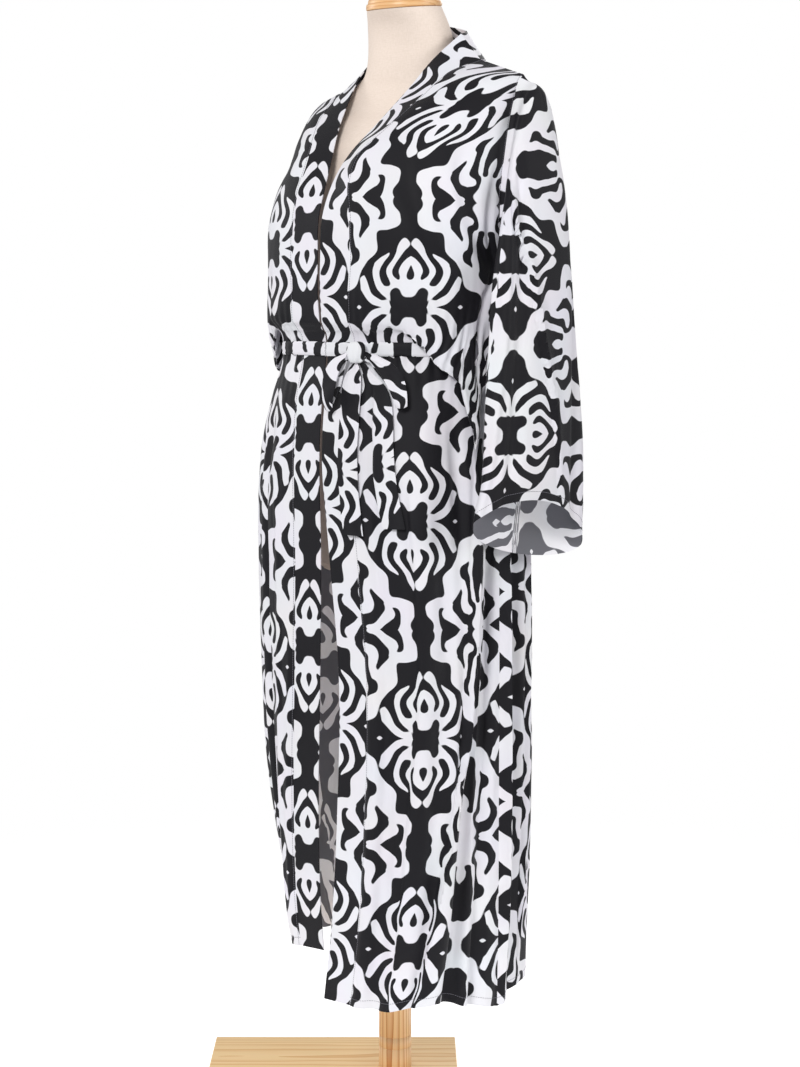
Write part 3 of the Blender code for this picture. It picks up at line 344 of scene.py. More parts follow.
LOOP_LEFT = table(Strip, "across height out wide", (
    (84, 1173.5, 14.5, 6),
    (91, 1171, 18.5, 14),
    (101, 1164, 21.5, 22),
    (116, 1154, 23, 26),
    (130, 1132, 23, 26),
    (140, 1104, 19, 26),
    (142, 1096, 15, 26),
    (140, 1102, 12, 26),
    (129, 1127, 11.2, 26),
    (110, 1148, 12, 22),
    (93.5, 1159, 12.5, 10),
    (83, 1163, 12.5, 6),
))
KNOT_ACROSS = 0.067
KNOT_HEIGHT = 1.1735
KNOT_HALF = (0.0150, 0.0095, 0.0150)


def run_of(line):
    """The length along a line at each of its points."""
    steps = np.linalg.norm(np.diff(line, axis=0), axis=1)
    return np.concatenate([[0.0], np.cumsum(steps)])


def at(places, along, line):
    """The points of a line at some lengths along it."""
    return np.stack([np.interp(places, along, line[:, axis]) for axis in range(3)], axis=-1)


def evenly(line, shares):
    """Points at the given shares of a line's length."""
    along = run_of(line)
    return at(np.asarray(shares) * along[-1], along, line)


def quarter(start, end, square):
    """A rounded quarter section: level with X at its start, level with Y at its end."""
    turn = np.linspace(0.0, math.pi / 2.0, QUARTER_POINTS)
    power = 2.0 / square
    line = np.empty((len(turn), 3))
    line[:, 0] = start[0] + (end[0] - start[0]) * np.sin(turn) ** power
    line[:, 1] = end[1] + (start[1] - end[1]) * np.cos(turn) ** power
    along = run_of(line[:, :2])
    line[:, 2] = start[2] + (end[2] - start[2]) * along / along[-1]
    return line


def spline_rows(sections, counts):
    """Rows along a smooth curve through each column of the sections, rows first.

    The curve is a centripetal Catmull-Rom spline, which doesn't overshoot where sections
    lie close together.
    """
    sections = np.asarray(sections, dtype=float)
    last = len(sections) - 1
    rows = []
    for index in range(last):
        p1, p2 = sections[index], sections[index + 1]
        p0 = sections[index - 1] if index else 2.0 * p1 - p2
        p3 = sections[index + 2] if index + 2 <= last else 2.0 * p2 - p1
        gaps = [np.sqrt(np.linalg.norm(b - a, axis=1, keepdims=True)) + SMALL_GAP
                for a, b in ((p0, p1), (p1, p2), (p2, p3))]
        t0 = np.zeros_like(gaps[0])
        t1 = t0 + gaps[0]
        t2 = t1 + gaps[1]
        t3 = t2 + gaps[2]
        for step in range(counts[index]):
            t = t1 + (t2 - t1) * step / counts[index]
            a1 = (t1 - t) / (t1 - t0) * p0 + (t - t0) / (t1 - t0) * p1
            a2 = (t2 - t) / (t2 - t1) * p1 + (t - t1) / (t2 - t1) * p2
            a3 = (t3 - t) / (t3 - t2) * p2 + (t - t2) / (t3 - t2) * p3
            b1 = (t2 - t) / (t2 - t0) * a1 + (t - t0) / (t2 - t0) * a2
            b2 = (t3 - t) / (t3 - t1) * a2 + (t - t1) / (t3 - t1) * a3
            rows.append((t2 - t) / (t2 - t1) * b1 + (t - t1) / (t2 - t1) * b2)
    rows.append(sections[last])
    return np.array(rows)


def hang_over_belt(points, name, drops, shares):
    """Lowers a section's points where the blouse hangs over the belt, and moves them out."""
    if name not in DROP_SHARE:
        return points
    across, drop = np.array(drops).T
    fall = np.interp(shares, across, drop) * DROP_SHARE[name]
    points = points.copy()
    points[:, 2] -= fall
    flare = FLARE_PER_DROP * np.clip(FLARE_FROM - points[:, 2], 0.0, None)
    out = points[:, :2] / np.linalg.norm(points[:, :2], axis=1, keepdims=True)
    points[:, :2] += out * flare[:, None]
    return points


def front_section(row, drops, hem):
    """A front section, from the band's seam to the side seam or armhole."""
    shares = np.linspace(0.0, 1.0, FRONT_COLUMNS + 1)
    points = evenly(quarter(row.seam, row.side, row.square), shares)
    if row.name == "hem":
        across, rise = np.array(hem).T
        points[:, 2] += np.interp(shares, across, rise)
    return hang_over_belt(points, row.name, drops, shares)


def back_shares():
    """Shares of half the back: the neck's columns, then the shoulder's."""
    neck = np.linspace(0.0, NECK_SHARE, NECK_COLUMNS + 1)
    shoulder = np.linspace(NECK_SHARE, 1.0, FRONT_COLUMNS + 1)
    return np.concatenate([neck, shoulder[1:]])


def back_half(row, side, seam):
    """Half a back section, from the middle to one side."""
    if row.name != "shoulder":
        return evenly(quarter(row.middle, side, row.square), back_shares())
    neck = evenly(quarter(row.middle, seam, 2.0), np.linspace(0.0, 1.0, NECK_COLUMNS + 1))
    ridge = evenly(quarter(seam, side, 2.0), np.linspace(0.0, 1.0, FRONT_COLUMNS + 1))
    return np.concatenate([neck, ridge[1:]])


def back_section(index):
    """A back section, from the left side seam or armhole round to the right."""
    row = BACK[index]
    left = back_half(row, row.left or LEFT[index].side, LEFT[index].seam)
    right = back_half(row, row.right or RIGHT[index].side, RIGHT[index].seam)
    points = np.concatenate([left[::-1], right[1:]])
    along = run_of(points)
    return hang_over_belt(points, row.name, DROP_BACK, along / along[-1])


def row_counts():
    """Fine rows from each section up to the next."""
    return [row.rows * ROWS_FINE for row in LEFT[:-1]]


def row_of(name):
    """The number of the fine row at a named section."""
    return sum(row_counts()[:[row.name for row in LEFT].index(name)])


def tangents(grid, axis, closed):
    """Each point's direction along an axis: halfway between the runs before and after it."""
    ahead = np.roll(grid, -1, axis=axis) - grid
    ahead /= np.linalg.norm(ahead, axis=2, keepdims=True) + TINY
    behind = np.roll(ahead, 1, axis=axis)
    if not closed:
        first, last = [slice(None)] * 3, [slice(None)] * 3
        first[axis], last[axis] = 0, -1
        behind[tuple(first)] = ahead[tuple(first)]
        ahead[tuple(last)] = behind[tuple(last)]
    return ahead + behind


def wall_normals(grid, closed=False):
    """Unit normals of a grid of points, rows up and columns across."""
    across = tangents(grid, 1, closed)
    up = tangents(grid, 0, False)
    normals = np.cross(across, up)
    return normals / (np.linalg.norm(normals, axis=2, keepdims=True) + TINY)


def lengths_across(grid):
    """The length along each row of a grid, at each of its points."""
    steps = np.linalg.norm(np.diff(grid, axis=1), axis=2)
    return np.concatenate([np.zeros((len(grid), 1)), np.cumsum(steps, axis=1)], axis=1)


def lengths_up(grid):
    """The length up each column of a grid, at each of its points."""
    return lengths_across(grid.transpose(1, 0, 2)).T


def fold_moves(folds, name, grid, along):
    """How far a table's folds move each point of a piece."""
    z = grid[:, :, 2]
    move = np.zeros(z.shape)
    for fold in folds:
        if fold.piece == name:
            down = np.clip((fold.top_z - z) / (fold.top_z - fold.low_z), 0.0, 1.0)
            centre = (fold.top_across + (fold.low_across - fold.top_across) * down) * along[:, -1:]
            off = np.clip(np.abs(along - centre) / (2.0 * fold.wide), 0.0, 0.5)
            fade = np.clip((fold.top_z - z) / FOLD_START, 0.0, 1.0)
            fade *= np.clip((z - fold.low_z) / FOLD_END, 0.0, 1.0)
            move += fold.high * (0.5 + 0.5 * np.cos(2.0 * math.pi * off)) * fade
    return move


def add_folds(name, grid, normals):
    """Moves a piece's points out and in along its folds. Its edges stay."""
    along = lengths_across(grid)
    edge = np.clip(np.minimum(along, along[:, -1:] - along) / FOLD_EDGE, 0.0, 1.0)
    return grid + normals * (fold_moves(FOLDS, name, grid, along) * edge)[:, :, None]


def sleeve_loop(hang, turn):
    """A sleeve section through its four points, pinched towards its front and back folds."""
    outer, front, inner, back = (np.array(point) for point in hang)
    middle = (outer + front + inner + back) / 4.0
    lift = (outer - inner) / 2.0
    reach = (front - back) / 2.0
    twist = ((outer + inner) - (front + back)) / 4.0
    cosine = np.cos(turn)
    pinched = np.sign(cosine) * np.abs(cosine) ** SLEEVE_PINCH
    return (middle + pinched[:, None] * lift + np.sin(turn)[:, None] * reach
            + np.cos(2.0 * turn)[:, None] * twist)


def half_turns(line):
    """Angles from 0 to half a turn, in step with the length along a line."""
    along = run_of(line)
    return math.pi * along / along[-1]


def sleeve_grid(front, back_column, hangs, first_row):
    """A sleeve from its armhole, whose points are those of the front and the back."""
    down_front = front[first_row:, -1][::-1]
    up_back = back_column[first_row:]
    armhole = np.concatenate([down_front, up_back[1:-1]])
    turn = np.concatenate([half_turns(down_front), math.pi + half_turns(up_back)[1:-1]])
    lead = np.array(SLEEVE_LEAD)
    lead[0] *= math.copysign(1.0, armhole[0, 0])
    sections = [armhole, armhole + lead] + [sleeve_loop(hang, turn) for hang in hangs]
    counts = [ROWS_FINE, 2 * ROWS_FINE] + [3 * ROWS_FINE] * (len(sections) - 3)
    return spline_rows(sections, counts)


def neck_grid(left_band, right_band, back):
    """The band behind the neck: its seam is the back's neck edge, its free edge stands."""
    middle = back.shape[1] // 2
    seam = back[-1, middle - NECK_COLUMNS:middle + NECK_COLUMNS + 1]
    left_edge, right_edge = left_band[-1, 0], right_band[-1, 0]
    top = np.array(NECK_EDGE_MIDDLE)
    shares = np.linspace(0.0, 1.0, NECK_COLUMNS + 1)
    left = evenly(quarter(top, left_edge, 2.0), shares)[::-1]
    right = evenly(quarter(top, right_edge, 2.0), shares)
    edge = np.concatenate([left, right[1:]])
    lift = np.linspace(0.0, 1.0, BAND_COLUMNS + 1)[:, None, None]
    return seam[None] + (edge - seam)[None] * lift


def band_grid(front, sections):
    """A straight strip beside the front's first column, out to the band's free edge."""
    edges = spline_rows([[row.edge] for row in sections], row_counts())[:, 0]
    lift = np.linspace(0.0, 1.0, BAND_COLUMNS + 1)[None, :, None]
    return edges[:, None] + (front[:, :1] - edges[:, None]) * lift


def coat_grids():
    """Each cloth piece's grid of points, whether it closes on itself, and which way it faces."""
    counts = row_counts()
    front_left = spline_rows([front_section(row, DROP_LEFT, HEM_LEFT) for row in LEFT], counts)
    front_right = spline_rows([front_section(row, DROP_RIGHT, HEM_RIGHT) for row in RIGHT], counts)
    back = spline_rows([back_section(index) for index in range(len(BACK))], counts)
    band_left = band_grid(front_left, LEFT)
    band_right = band_grid(front_right, RIGHT)
    first_row = row_of("underarm")
    return {
        "front_left": (front_left, False, 1.0),
        "front_right": (front_right, False, -1.0),
        "back": (back, False, 1.0),
        "sleeve_left": (sleeve_grid(front_left, back[:, 0], SLEEVE_LEFT, first_row), True, 1.0),
        "sleeve_right": (sleeve_grid(front_right, back[:, -1], SLEEVE_RIGHT, first_row), True, -1.0),
        "band_left": (band_left, False, 1.0),
        "band_right": (band_right, False, -1.0),
        "band_neck": (neck_grid(band_left, band_right, back), False, 1.0),
    }


# What the drape adds to the tables' folds: waves down the skirt, gathers at the belt and
# a light crumple, each size of it with its height.
Wave = namedtuple("Wave", "length high lean start")
WAVES = (
    Wave(0.118, 0.0030, 0.35, 0.10),
    Wave(0.071, 0.0020, -0.55, 0.45),
    Wave(0.043, 0.0008, 0.90, 0.70),
)
WAVE_TOP = 1.15
WAVE_FULL = 0.40
GATHER_STEP = 0.017
GATHER_DEEP = 0.0042
GATHER_REACH = 0.034
GATHER_STRAY = 2.0
GATHER_STRAY_TURN = 31.0
CRUMPLES = ((0.055, 0.0022), (0.021, 0.0008))
CRUMPLE_TALL = 1.8
SEAM_DIP = 0.0007
SEAM_DIP_WIDE = 0.004
RIM_FADE = 0.012
TOP_FADE_ROWS = 8
# Small folds of each piece, in the same columns as FOLDS.
FINE_FOLDS = table(Fold, "top_z low_z wide high", (
    ("sleeve_left", 0.13, 1500, 0.15, 900, 20, -7),
    ("sleeve_left", 0.19, 1460, 0.24, 900, 16, 5),
    ("sleeve_left", 0.88, 1460, 0.86, 900, 26, -8),
    ("sleeve_left", 0.76, 1360, 0.74, 900, 24, 6),
    ("sleeve_right", 0.14, 1460, 0.16, 900, 22, -4),
    ("sleeve_right", 0.86, 1460, 0.84, 900, 24, -5),
    ("front_left", 0.15, 1190, 0.15, 930, 13, -6),
    ("front_left", 0.93, 920, 0.8, 140, 24, -16),
    ("front_left", 0.66, 1100, 0.6, 200, 18, -7),
    ("front_left", 0.86, 1020, 0.72, 140, 18, 7),
    ("front_right", 0.16, 1120, 0.12, 240, 12, 3),
    ("front_right", 0.4, 1120, 0.36, 240, 14, -4),
    ("front_right", 0.88, 1100, 0.9, 240, 14, 4),
    ("back", 0.29, 1120, 0.28, 220, 14, 3),
    ("back", 0.43, 1120, 0.42, 220, 13, 3),
    ("back", 0.58, 1120, 0.59, 220, 13, 3),
    ("back", 0.71, 1120, 0.73, 220, 14, 3),
    ("back", 0.35, 1340, 0.42, 1220, 12, -3),
    ("back", 0.62, 1340, 0.58, 1220, 12, -3),
    ("front_left", 0.16, 1330, 0.3, 1220, 11, -3),
    ("front_left", 0.44, 1380, 0.55, 1160, 12, 3),
    ("front_left", 0.95, 1460, 0.8, 1120, 14, -6),
    ("front_right", 0.2, 1340, 0.32, 1220, 12, -3),
))

# Creases, where the cloth folds over itself: path is (height, share of the way across)
# from the top down, lap is +1 where the near layer is past the line and -1 where it is
# before it, high is the step, wide how far the near layer takes to fall back, and hidden the
# cloth that the fold hides.
Crease = namedtuple("Crease", "piece path lap high wide hidden")
CREASES = (
    Crease("front_left", ((1.03, 0.775), (0.90, 0.735), (0.725, 0.70), (0.586, 0.655), (0.40, 0.50),
                          (0.14, 0.36)), 1, 0.013, 0.040, 0.030),
    Crease("front_left", ((1.00, 0.36), (0.70, 0.335), (0.45, 0.27), (0.14, 0.24)),
           1, 0.004, 0.045, 0.012),
    Crease("back", ((1.02, 0.020), (0.60, 0.022), (0.14, 0.020)), -1, 0.012, 0.022, 0.034),
    Crease("back", ((1.06, 0.155), (0.60, 0.150), (0.14, 0.150)), 1, 0.008, 0.045, 0.026),
    Crease("back", ((1.10, 0.400), (0.60, 0.385), (0.14, 0.380)), -1, 0.008, 0.050, 0.026),
    Crease("back", ((1.10, 0.610), (0.60, 0.620), (0.14, 0.625)), 1, 0.008, 0.050, 0.026),
    Crease("back", ((1.06, 0.845), (0.60, 0.850), (0.14, 0.850)), -1, 0.008, 0.045, 0.026),
    Crease("front_right", ((1.06, 0.70), (0.70, 0.69), (0.20, 0.70)), -1, 0.007, 0.040, 0.022),
    Crease("front_right", ((1.06, 0.26), (0.70, 0.24), (0.20, 0.25)), -1, 0.005, 0.040, 0.014),
    Crease("sleeve_left", ((1.47, 0.165), (1.418, 0.185), (1.364, 0.172), (1.30, 0.110), (1.195, 0.060),
                           (1.10, 0.0), (0.94, -0.060)), -1, 0.010, 0.034, 0.020),
    Crease("sleeve_left", ((1.40, 0.74), (1.20, 0.78), (0.90, 0.80)), 1, 0.007, 0.040, 0.020),
    Crease("sleeve_right", ((1.46, 0.16), (1.20, 0.12), (0.92, 0.08)), -1, 0.006, 0.032, 0.016),
    Crease("sleeve_right", ((1.40, 0.76), (1.20, 0.80), (0.90, 0.84)), 1, 0.006, 0.036, 0.016),
)
CREASE_TURN = 0.0065
CREASE_START = 0.10
CREASE_BASE = 0.35
CREASE_BEHIND = 0.6
EASE_REACH = 0.22
EASE_LEFT = 0.20


def smooth(share):
    """A share from 0 to 1 that starts and stops gently."""
    share = np.clip(share, 0.0, 1.0)
    return share * share * (3.0 - 2.0 * share)


def crease_offset(crease, grid, along, wide, closed):
    """How far each point is past the crease's line, and how much of its step is left there."""
    heights, shares = np.array(crease.path[::-1]).T
    z = grid[:, :, 2]
    offset = along - np.interp(z, heights, shares) * wide
    if closed:
        offset = (offset + wide / 2.0) % wide - wide / 2.0
    return offset, smooth((heights[-1] - z) / CREASE_START)


def crease_move(crease, offset, fade):
    """The near layer stands proud at the line and falls back over its width."""
    near = offset * crease.lap
    fall = np.clip(1.0 - near / crease.wide, 0.0, 1.0) ** 2
    turned = smooth(1.0 + near / CREASE_TURN)
    trough = CREASE_BASE * np.clip(1.0 + near / (CREASE_BEHIND * crease.wide), 0.0, 1.0) ** 2
    step = np.where(near >= 0.0, fall, (1.0 + CREASE_BASE) * turned - trough)
    return crease.high * fade * step


def eased(z, low):
    """Creases grow flatter towards a hem or cuff, which its stitching holds smooth."""
    share = np.clip((z - low) / EASE_REACH, 0.0, 1.0)
    return EASE_LEFT + (1.0 - EASE_LEFT) * share


def hidden_cloth(crease, offset, fade):
    """The print's jump across the line, where a strip of the cloth is out of sight."""
    past = np.clip(offset * crease.lap / CREASE_TURN + 1.0, 0.0, 1.0)
    return crease.hidden * crease.lap * fade * past


def crumple(grid, seed):
    """A soft uneven surface, from noise at a few sizes."""
    move = np.zeros(grid.shape[:2])
    for size, high in CRUMPLES:
        for i in range(grid.shape[0]):
            for j in range(grid.shape[1]):
                x, y, z = grid[i, j]
                place = Vector((x / size + seed, y / size, z / (CRUMPLE_TALL * size)))
                move[i, j] += 0.5 * high * noise.noise(place)
    return move


def drape(name, grid, normals, closed):
    """Waves, gathers, small folds and crumple, all moved along the normals."""
    along = lengths_across(grid)
    wide = along[:, -1:]
    z = grid[:, :, 2]
    move = crumple(grid, float(len(name)))
    sleeve = name.startswith("sleeve")
    if not sleeve:
        depth = np.clip((WAVE_TOP - z) / WAVE_FULL, 0.0, 1.0)
        for wave in WAVES:
            turn = along / wave.length + wave.lean * z + wave.start
            move += wave.high * np.sin(2.0 * math.pi * turn) * depth
        near = np.exp(-np.abs(z - BELT_MIDDLE) / GATHER_REACH)
        stray = GATHER_STRAY * np.sin(along * GATHER_STRAY_TURN)
        gather = np.cos(2.0 * math.pi * along / GATHER_STEP + stray)
        move -= GATHER_DEEP * (0.5 - 0.5 * gather) * near
    move += fold_moves(FINE_FOLDS, name, grid, along)
    for crease in CREASES:
        if crease.piece == name:
            step = crease_move(crease, *crease_offset(crease, grid, along, wide, closed))
            move += step * eased(z, crease.path[-1][0])
    edge = np.ones_like(move)
    if not closed:
        side = np.minimum(along, wide - along)
        edge = np.clip(side / RIM_FADE, 0.0, 1.0)
        move -= SEAM_DIP * (1.0 - np.clip(side / SEAM_DIP_WIDE, 0.0, 1.0))
    rows = np.arange(len(grid))[:, None]
    end = rows if sleeve else len(grid) - 1 - rows
    edge = edge * np.clip(end / TOP_FADE_ROWS, 0.0, 1.0)
    return grid + normals * (move * edge)[:, :, None]


# How the print lies on each piece: the turn of the grain and where the repeat starts.
Grain = namedtuple("Grain", "turn shift_u shift_v")
GRAIN = {
    "front_left": Grain(0.0, 0.030, 0.110),
    "front_right": Grain(0.0, 0.075, 0.020),
    "back": Grain(0.0, 0.020, 0.060),
    "sleeve_left": Grain(90.0, 0.060, 0.140),
    "sleeve_right": Grain(90.0, 0.010, 0.040),
    "band_left": Grain(0.0, 0.160, 0.050),
    "band_right": Grain(0.0, 0.110, 0.010),
    "band_neck": Grain(90.0, 0.050, 0.030),
}


def turned_print(across, up, turn):
    """The print's coordinates, turned on the cloth by turn degrees."""
    angle = math.radians(turn)
    u = across * math.cos(angle) - up * math.sin(angle)
    v = across * math.sin(angle) + up * math.cos(angle)
    return np.stack([u, v], axis=2)


def cloth_map(name, grid, closed):
    """The print's place at each point: metres of cloth across and up, from the belt.

    The bodice's print goes on from the skirt's, less the spare cloth that its blouse hides.
    """
    grain = GRAIN[name]
    along, up = lengths_across(grid), lengths_up(grid)
    hidden = np.zeros(along.shape)
    for crease in CREASES:
        if crease.piece == name:
            offset, fade = crease_offset(crease, grid, along, along[:, -1:], closed)
            hidden += hidden_cloth(crease, offset, fade)
    if closed:
        return sleeve_map(grid, hidden, grain)
    across = along + hidden + grain.shift_u
    if name not in ("front_left", "front_right", "back"):
        return turned_print(across, up + grain.shift_v, grain.turn)
    belt, fold, blouse = row_of("belt_high"), row_of("low"), row_of("blouse")
    spare = up[blouse] - up[belt] - (grid[blouse, :, 2] - grid[belt, :, 2])
    spare = np.clip(spare - spare.min(), 0.0, None)
    above = (np.arange(len(grid)) > fold)[:, None]
    return turned_print(across, up - up[belt] - spare * above + grain.shift_v, grain.turn)


# The share of the sleeve's mean girth in the print's spacing. The rest is each row's own.
SLEEVE_EVEN = 0.35


def sleeve_map(grid, hidden, grain):
    """A sleeve's metres of cloth: level distance round from its outer fold, and height."""
    steps = np.linalg.norm(np.diff(grid[:, :, :2], axis=1), axis=2)
    steps = steps.mean(axis=0, keepdims=True) * SLEEVE_EVEN + steps * (1.0 - SLEEVE_EVEN)
    along = np.concatenate([np.zeros((len(grid), 1)), np.cumsum(steps, axis=1)], axis=1)
    girth = along[:, -1:] + along[:, 1:2]
    far = np.arange(grid.shape[1])[None, :] > grid.shape[1] // 2
    along = np.where(far, along - girth, along) + hidden
    return turned_print(along + grain.shift_u, grid[:, :, 2] + grain.shift_v, grain.turn)


def hex_colour(text):
    """An sRGB hex colour as linear RGBA."""
    channels = [int(text[k:k + 2], 16) / 255.0 for k in (1, 3, 5)]
    linear = [c / 12.92 if c <= 0.04045 else ((c + 0.055) / 1.055) ** 2.4 for c in channels]
    return (*linear, 1.0)


def fill(tree, node, inputs):
    """Sets a node's inputs, or links them where the value is another node's output."""
    for key, value in inputs.items():
        if isinstance(value, bpy.types.NodeSocket):
            tree.links.new(value, node.inputs[key])
        else:
            node.inputs[key].default_value = value


def add_node(tree, kind, settings, inputs):
    """Adds a node, sets its properties, and sets or links its inputs."""
    node = tree.nodes.new(kind)
    for name, value in settings.items():
        setattr(node, name, value)
    fill(tree, node, inputs)
    return node


def new_material(name):
    """An empty material, with its nodes and its shader."""
    material = bpy.data.materials.new(name)
    material.use_nodes = True
    return material, material.node_tree, material.node_tree.nodes["Principled BSDF"]


# The print: a mirrored repeat of wandering bands round two kinds of rosette. Each step is
# one calculation on metres of cloth: its name, what it does, and one or two names or
# numbers. A step with WAY in its name is done twice, for across and for up.
REPEAT_WIDE = 0.265
REPEAT_HIGH = 0.325
WANDER = 0.050
WANDER_PER_METRE = 15.0
PRINT_STEPS = (
    ("cells WAY", "DIVIDE", "cloth WAY", "repeat WAY"),
    ("mirror WAY", "PINGPONG", "cells WAY", 0.5),
    ("place WAY", "MULTIPLY", "mirror WAY", "repeat WAY"),
)
BAND_STEPS = (
    ("stray WAY", "SUBTRACT", "noise WAY", 0.5),
    ("move WAY", "MULTIPLY", "stray WAY", "wander WAY"),
    ("warped WAY", "ADD", "mirror WAY", "move WAY"),
    ("turn WAY", "MULTIPLY", "warped WAY", 2.0 * math.pi),
    ("wave WAY", "COSINE", "turn WAY"),
    ("rosette", "ADD", "wave across", "wave up"),
    ("is first", "GREATER_THAN", "rosette", 0.0),
    ("is other", "SUBTRACT", 1.0, "is first"),
    ("other WAY", "SUBTRACT", 0.5, "warped WAY"),
    ("first part WAY", "MULTIPLY", "warped WAY", "is first"),
    ("other part WAY", "MULTIPLY", "other WAY", "is other"),
    ("near WAY", "ADD", "first part WAY", "other part WAY"),
    ("angle", "ARCTAN2", "near up", "near across"),
    ("stray", "SUBTRACT", "noise round", 0.5),
    ("size", "ABSOLUTE", "rosette"),
    ("petal turn", "MULTIPLY", "angle", 12.0),
    ("petal stray", "MULTIPLY", "stray", 5.5),
    ("petal curve", "MULTIPLY", "size", 3.4),
    ("petal sway", "ADD", "petal stray", "petal curve"),
    ("petal bent", "ADD", "petal turn", "petal sway"),
    ("petal", "COSINE", "petal bent"),
    ("rings", "MULTIPLY", "rosette", 2.2 * math.pi),
    ("uneven", "MULTIPLY", "stray", 6.0),
    ("bands turn", "ADD", "rings", "uneven"),
    ("bands", "SINE", "bands turn"),
    ("outside", "SUBTRACT", "size", 0.26),
    ("outside steep", "MULTIPLY", "outside", 3.2),
    ("outside low", "MAXIMUM", "outside steep", 0.0),
    ("outside share", "MINIMUM", "outside low", 1.0),
    ("middle", "SUBTRACT", 1.80, "size"),
    ("middle steep", "MULTIPLY", "middle", 5.0),
    ("middle low", "MAXIMUM", "middle steep", 0.0),
    ("middle share", "MINIMUM", "middle low", 1.0),
    ("petal share", "MULTIPLY", "outside share", "middle share"),
    ("band share", "SUBTRACT", 1.0, "petal share"),
    ("petal part", "MULTIPLY", "petal", "petal share"),
    ("band part", "MULTIPLY", "bands", "band share"),
    ("both", "ADD", "petal part", "band part"),
    ("sharp", "MULTIPLY", "both", 9.0),
    ("light", "ADD", "sharp", -0.1),
)


def work_out(tree, steps, known):
    """Turns a table of calculations into nodes, and keeps each result under its name."""
    for name, does, *values in steps:
        for way in ("across", "up") if "WAY" in name else ("",):
            inputs = {key: known[value.replace("WAY", way)] if isinstance(value, str) else value
                      for key, value in enumerate(values)}
            node = add_node(tree, "ShaderNodeMath", {"operation": does}, inputs)
            known[name.replace("WAY", way)] = node.outputs[0]


def print_mask(tree):
    """1 where the print is light and 0 where it is dark."""
    spot = add_node(tree, "ShaderNodeUVMap", {"uv_map": "cloth"}, {})
    parts = add_node(tree, "ShaderNodeSeparateXYZ", {}, {0: spot.outputs[0]})
    known = {
        "cloth across": parts.outputs[0],
        "cloth up": parts.outputs[1],
        "repeat across": REPEAT_WIDE,
        "repeat up": REPEAT_HIGH,
        "wander across": WANDER / REPEAT_WIDE,
        "wander up": WANDER / REPEAT_HIGH,
    }
    work_out(tree, PRINT_STEPS, known)
    place = add_node(tree, "ShaderNodeCombineXYZ", {}, {0: known["place across"], 1: known["place up"]})
    wander = add_node(tree, "ShaderNodeTexNoise", {"noise_dimensions": "2D"},
                      {"Vector": place.outputs[0], "Scale": WANDER_PER_METRE, "Detail": 1.5,
                       "Roughness": 0.45})
    colours = add_node(tree, "ShaderNodeSeparateColor", {}, {0: wander.outputs["Color"]})
    known["noise across"], known["noise up"], known["noise round"] = colours.outputs[:3]
    work_out(tree, BAND_STEPS, known)
    mask = add_node(tree, "ShaderNodeClamp", {}, {0: known["light"]})
    return mask.outputs[0], spot.outputs[0]


# The thread spacing of the real cloth is about 0.3 mm. It is drawn at 1.1 mm, to show.
THREAD = 0.0011
# The wave texture's own length: at a scale of 1 its ridges are 0.314 m apart.
WAVE_LONG = 0.314
# How high cloth and wood are in relief.
RELIEF = 0.0003


def weave_bump(tree, spot, strength):
    """A plain weave from two crossed sets of ridges on the cloth map."""
    ridges = []
    for direction in ("X", "Y"):
        wave = add_node(tree, "ShaderNodeTexWave", {"bands_direction": direction, "wave_profile": "SIN"},
                        {"Vector": spot, "Scale": WAVE_LONG / THREAD, "Distortion": 0.0})
        ridges.append(wave.outputs["Fac"])
    crossed = add_node(tree, "ShaderNodeMath", {"operation": "MAXIMUM"}, {0: ridges[0], 1: ridges[1]})
    bump = add_node(tree, "ShaderNodeBump", {},
                    {"Strength": strength, "Distance": RELIEF, "Height": crossed.outputs[0]})
    return bump.outputs[0]


# The dye takes a little unevenly.
CLOUDS_PER_METRE = 9.0
CLOUD_SHARE = 0.10


def printed_viscose(name, dark, light, roughness, through):
    """Light woven viscose, printed: crisp two-colour bands, a soft sheen, a fine weave.

    through sets a painted glow: the cloth gives off its own print colours at this strength, in place of
    the daylight that such thin cloth lets through to this side.
    """
    material, tree, shader = new_material(name)
    mask, spot = print_mask(tree)
    colour = add_node(tree, "ShaderNodeMix", {"data_type": "RGBA"},
                      {0: mask, 6: hex_colour(dark), 7: hex_colour(light)})
    cloud = add_node(tree, "ShaderNodeTexNoise", {},
                     {"Vector": spot, "Scale": CLOUDS_PER_METRE, "Detail": 2.0})
    tint = add_node(tree, "ShaderNodeMix", {"data_type": "RGBA", "blend_type": "MULTIPLY"},
                    {0: CLOUD_SHARE, 6: colour.outputs[2], 7: cloud.outputs["Color"]})
    fill(tree, shader, {
        "Base Color": tint.outputs[2],
        "Roughness": roughness,
        "Specular IOR Level": 0.2,
        "Sheen Weight": 0.06,
        "Sheen Roughness": 0.4,
        # painted glow: the print's own colours given off as light, standing in for light that comes
        # through the cloth
        "Emission Color": tint.outputs[2],
        "Emission Strength": through,
        "Normal": weave_bump(tree, spot, 0.35),
    })
    return material


# Slubs 1.1 mm thick and about 8 mm long, one set each way. Real ones are about half as
# thick, and they are drawn coarser so that they show.
SLUBS_PER_METRE = ((900.0, 900.0, 120.0), (140.0, 140.0, 900.0))


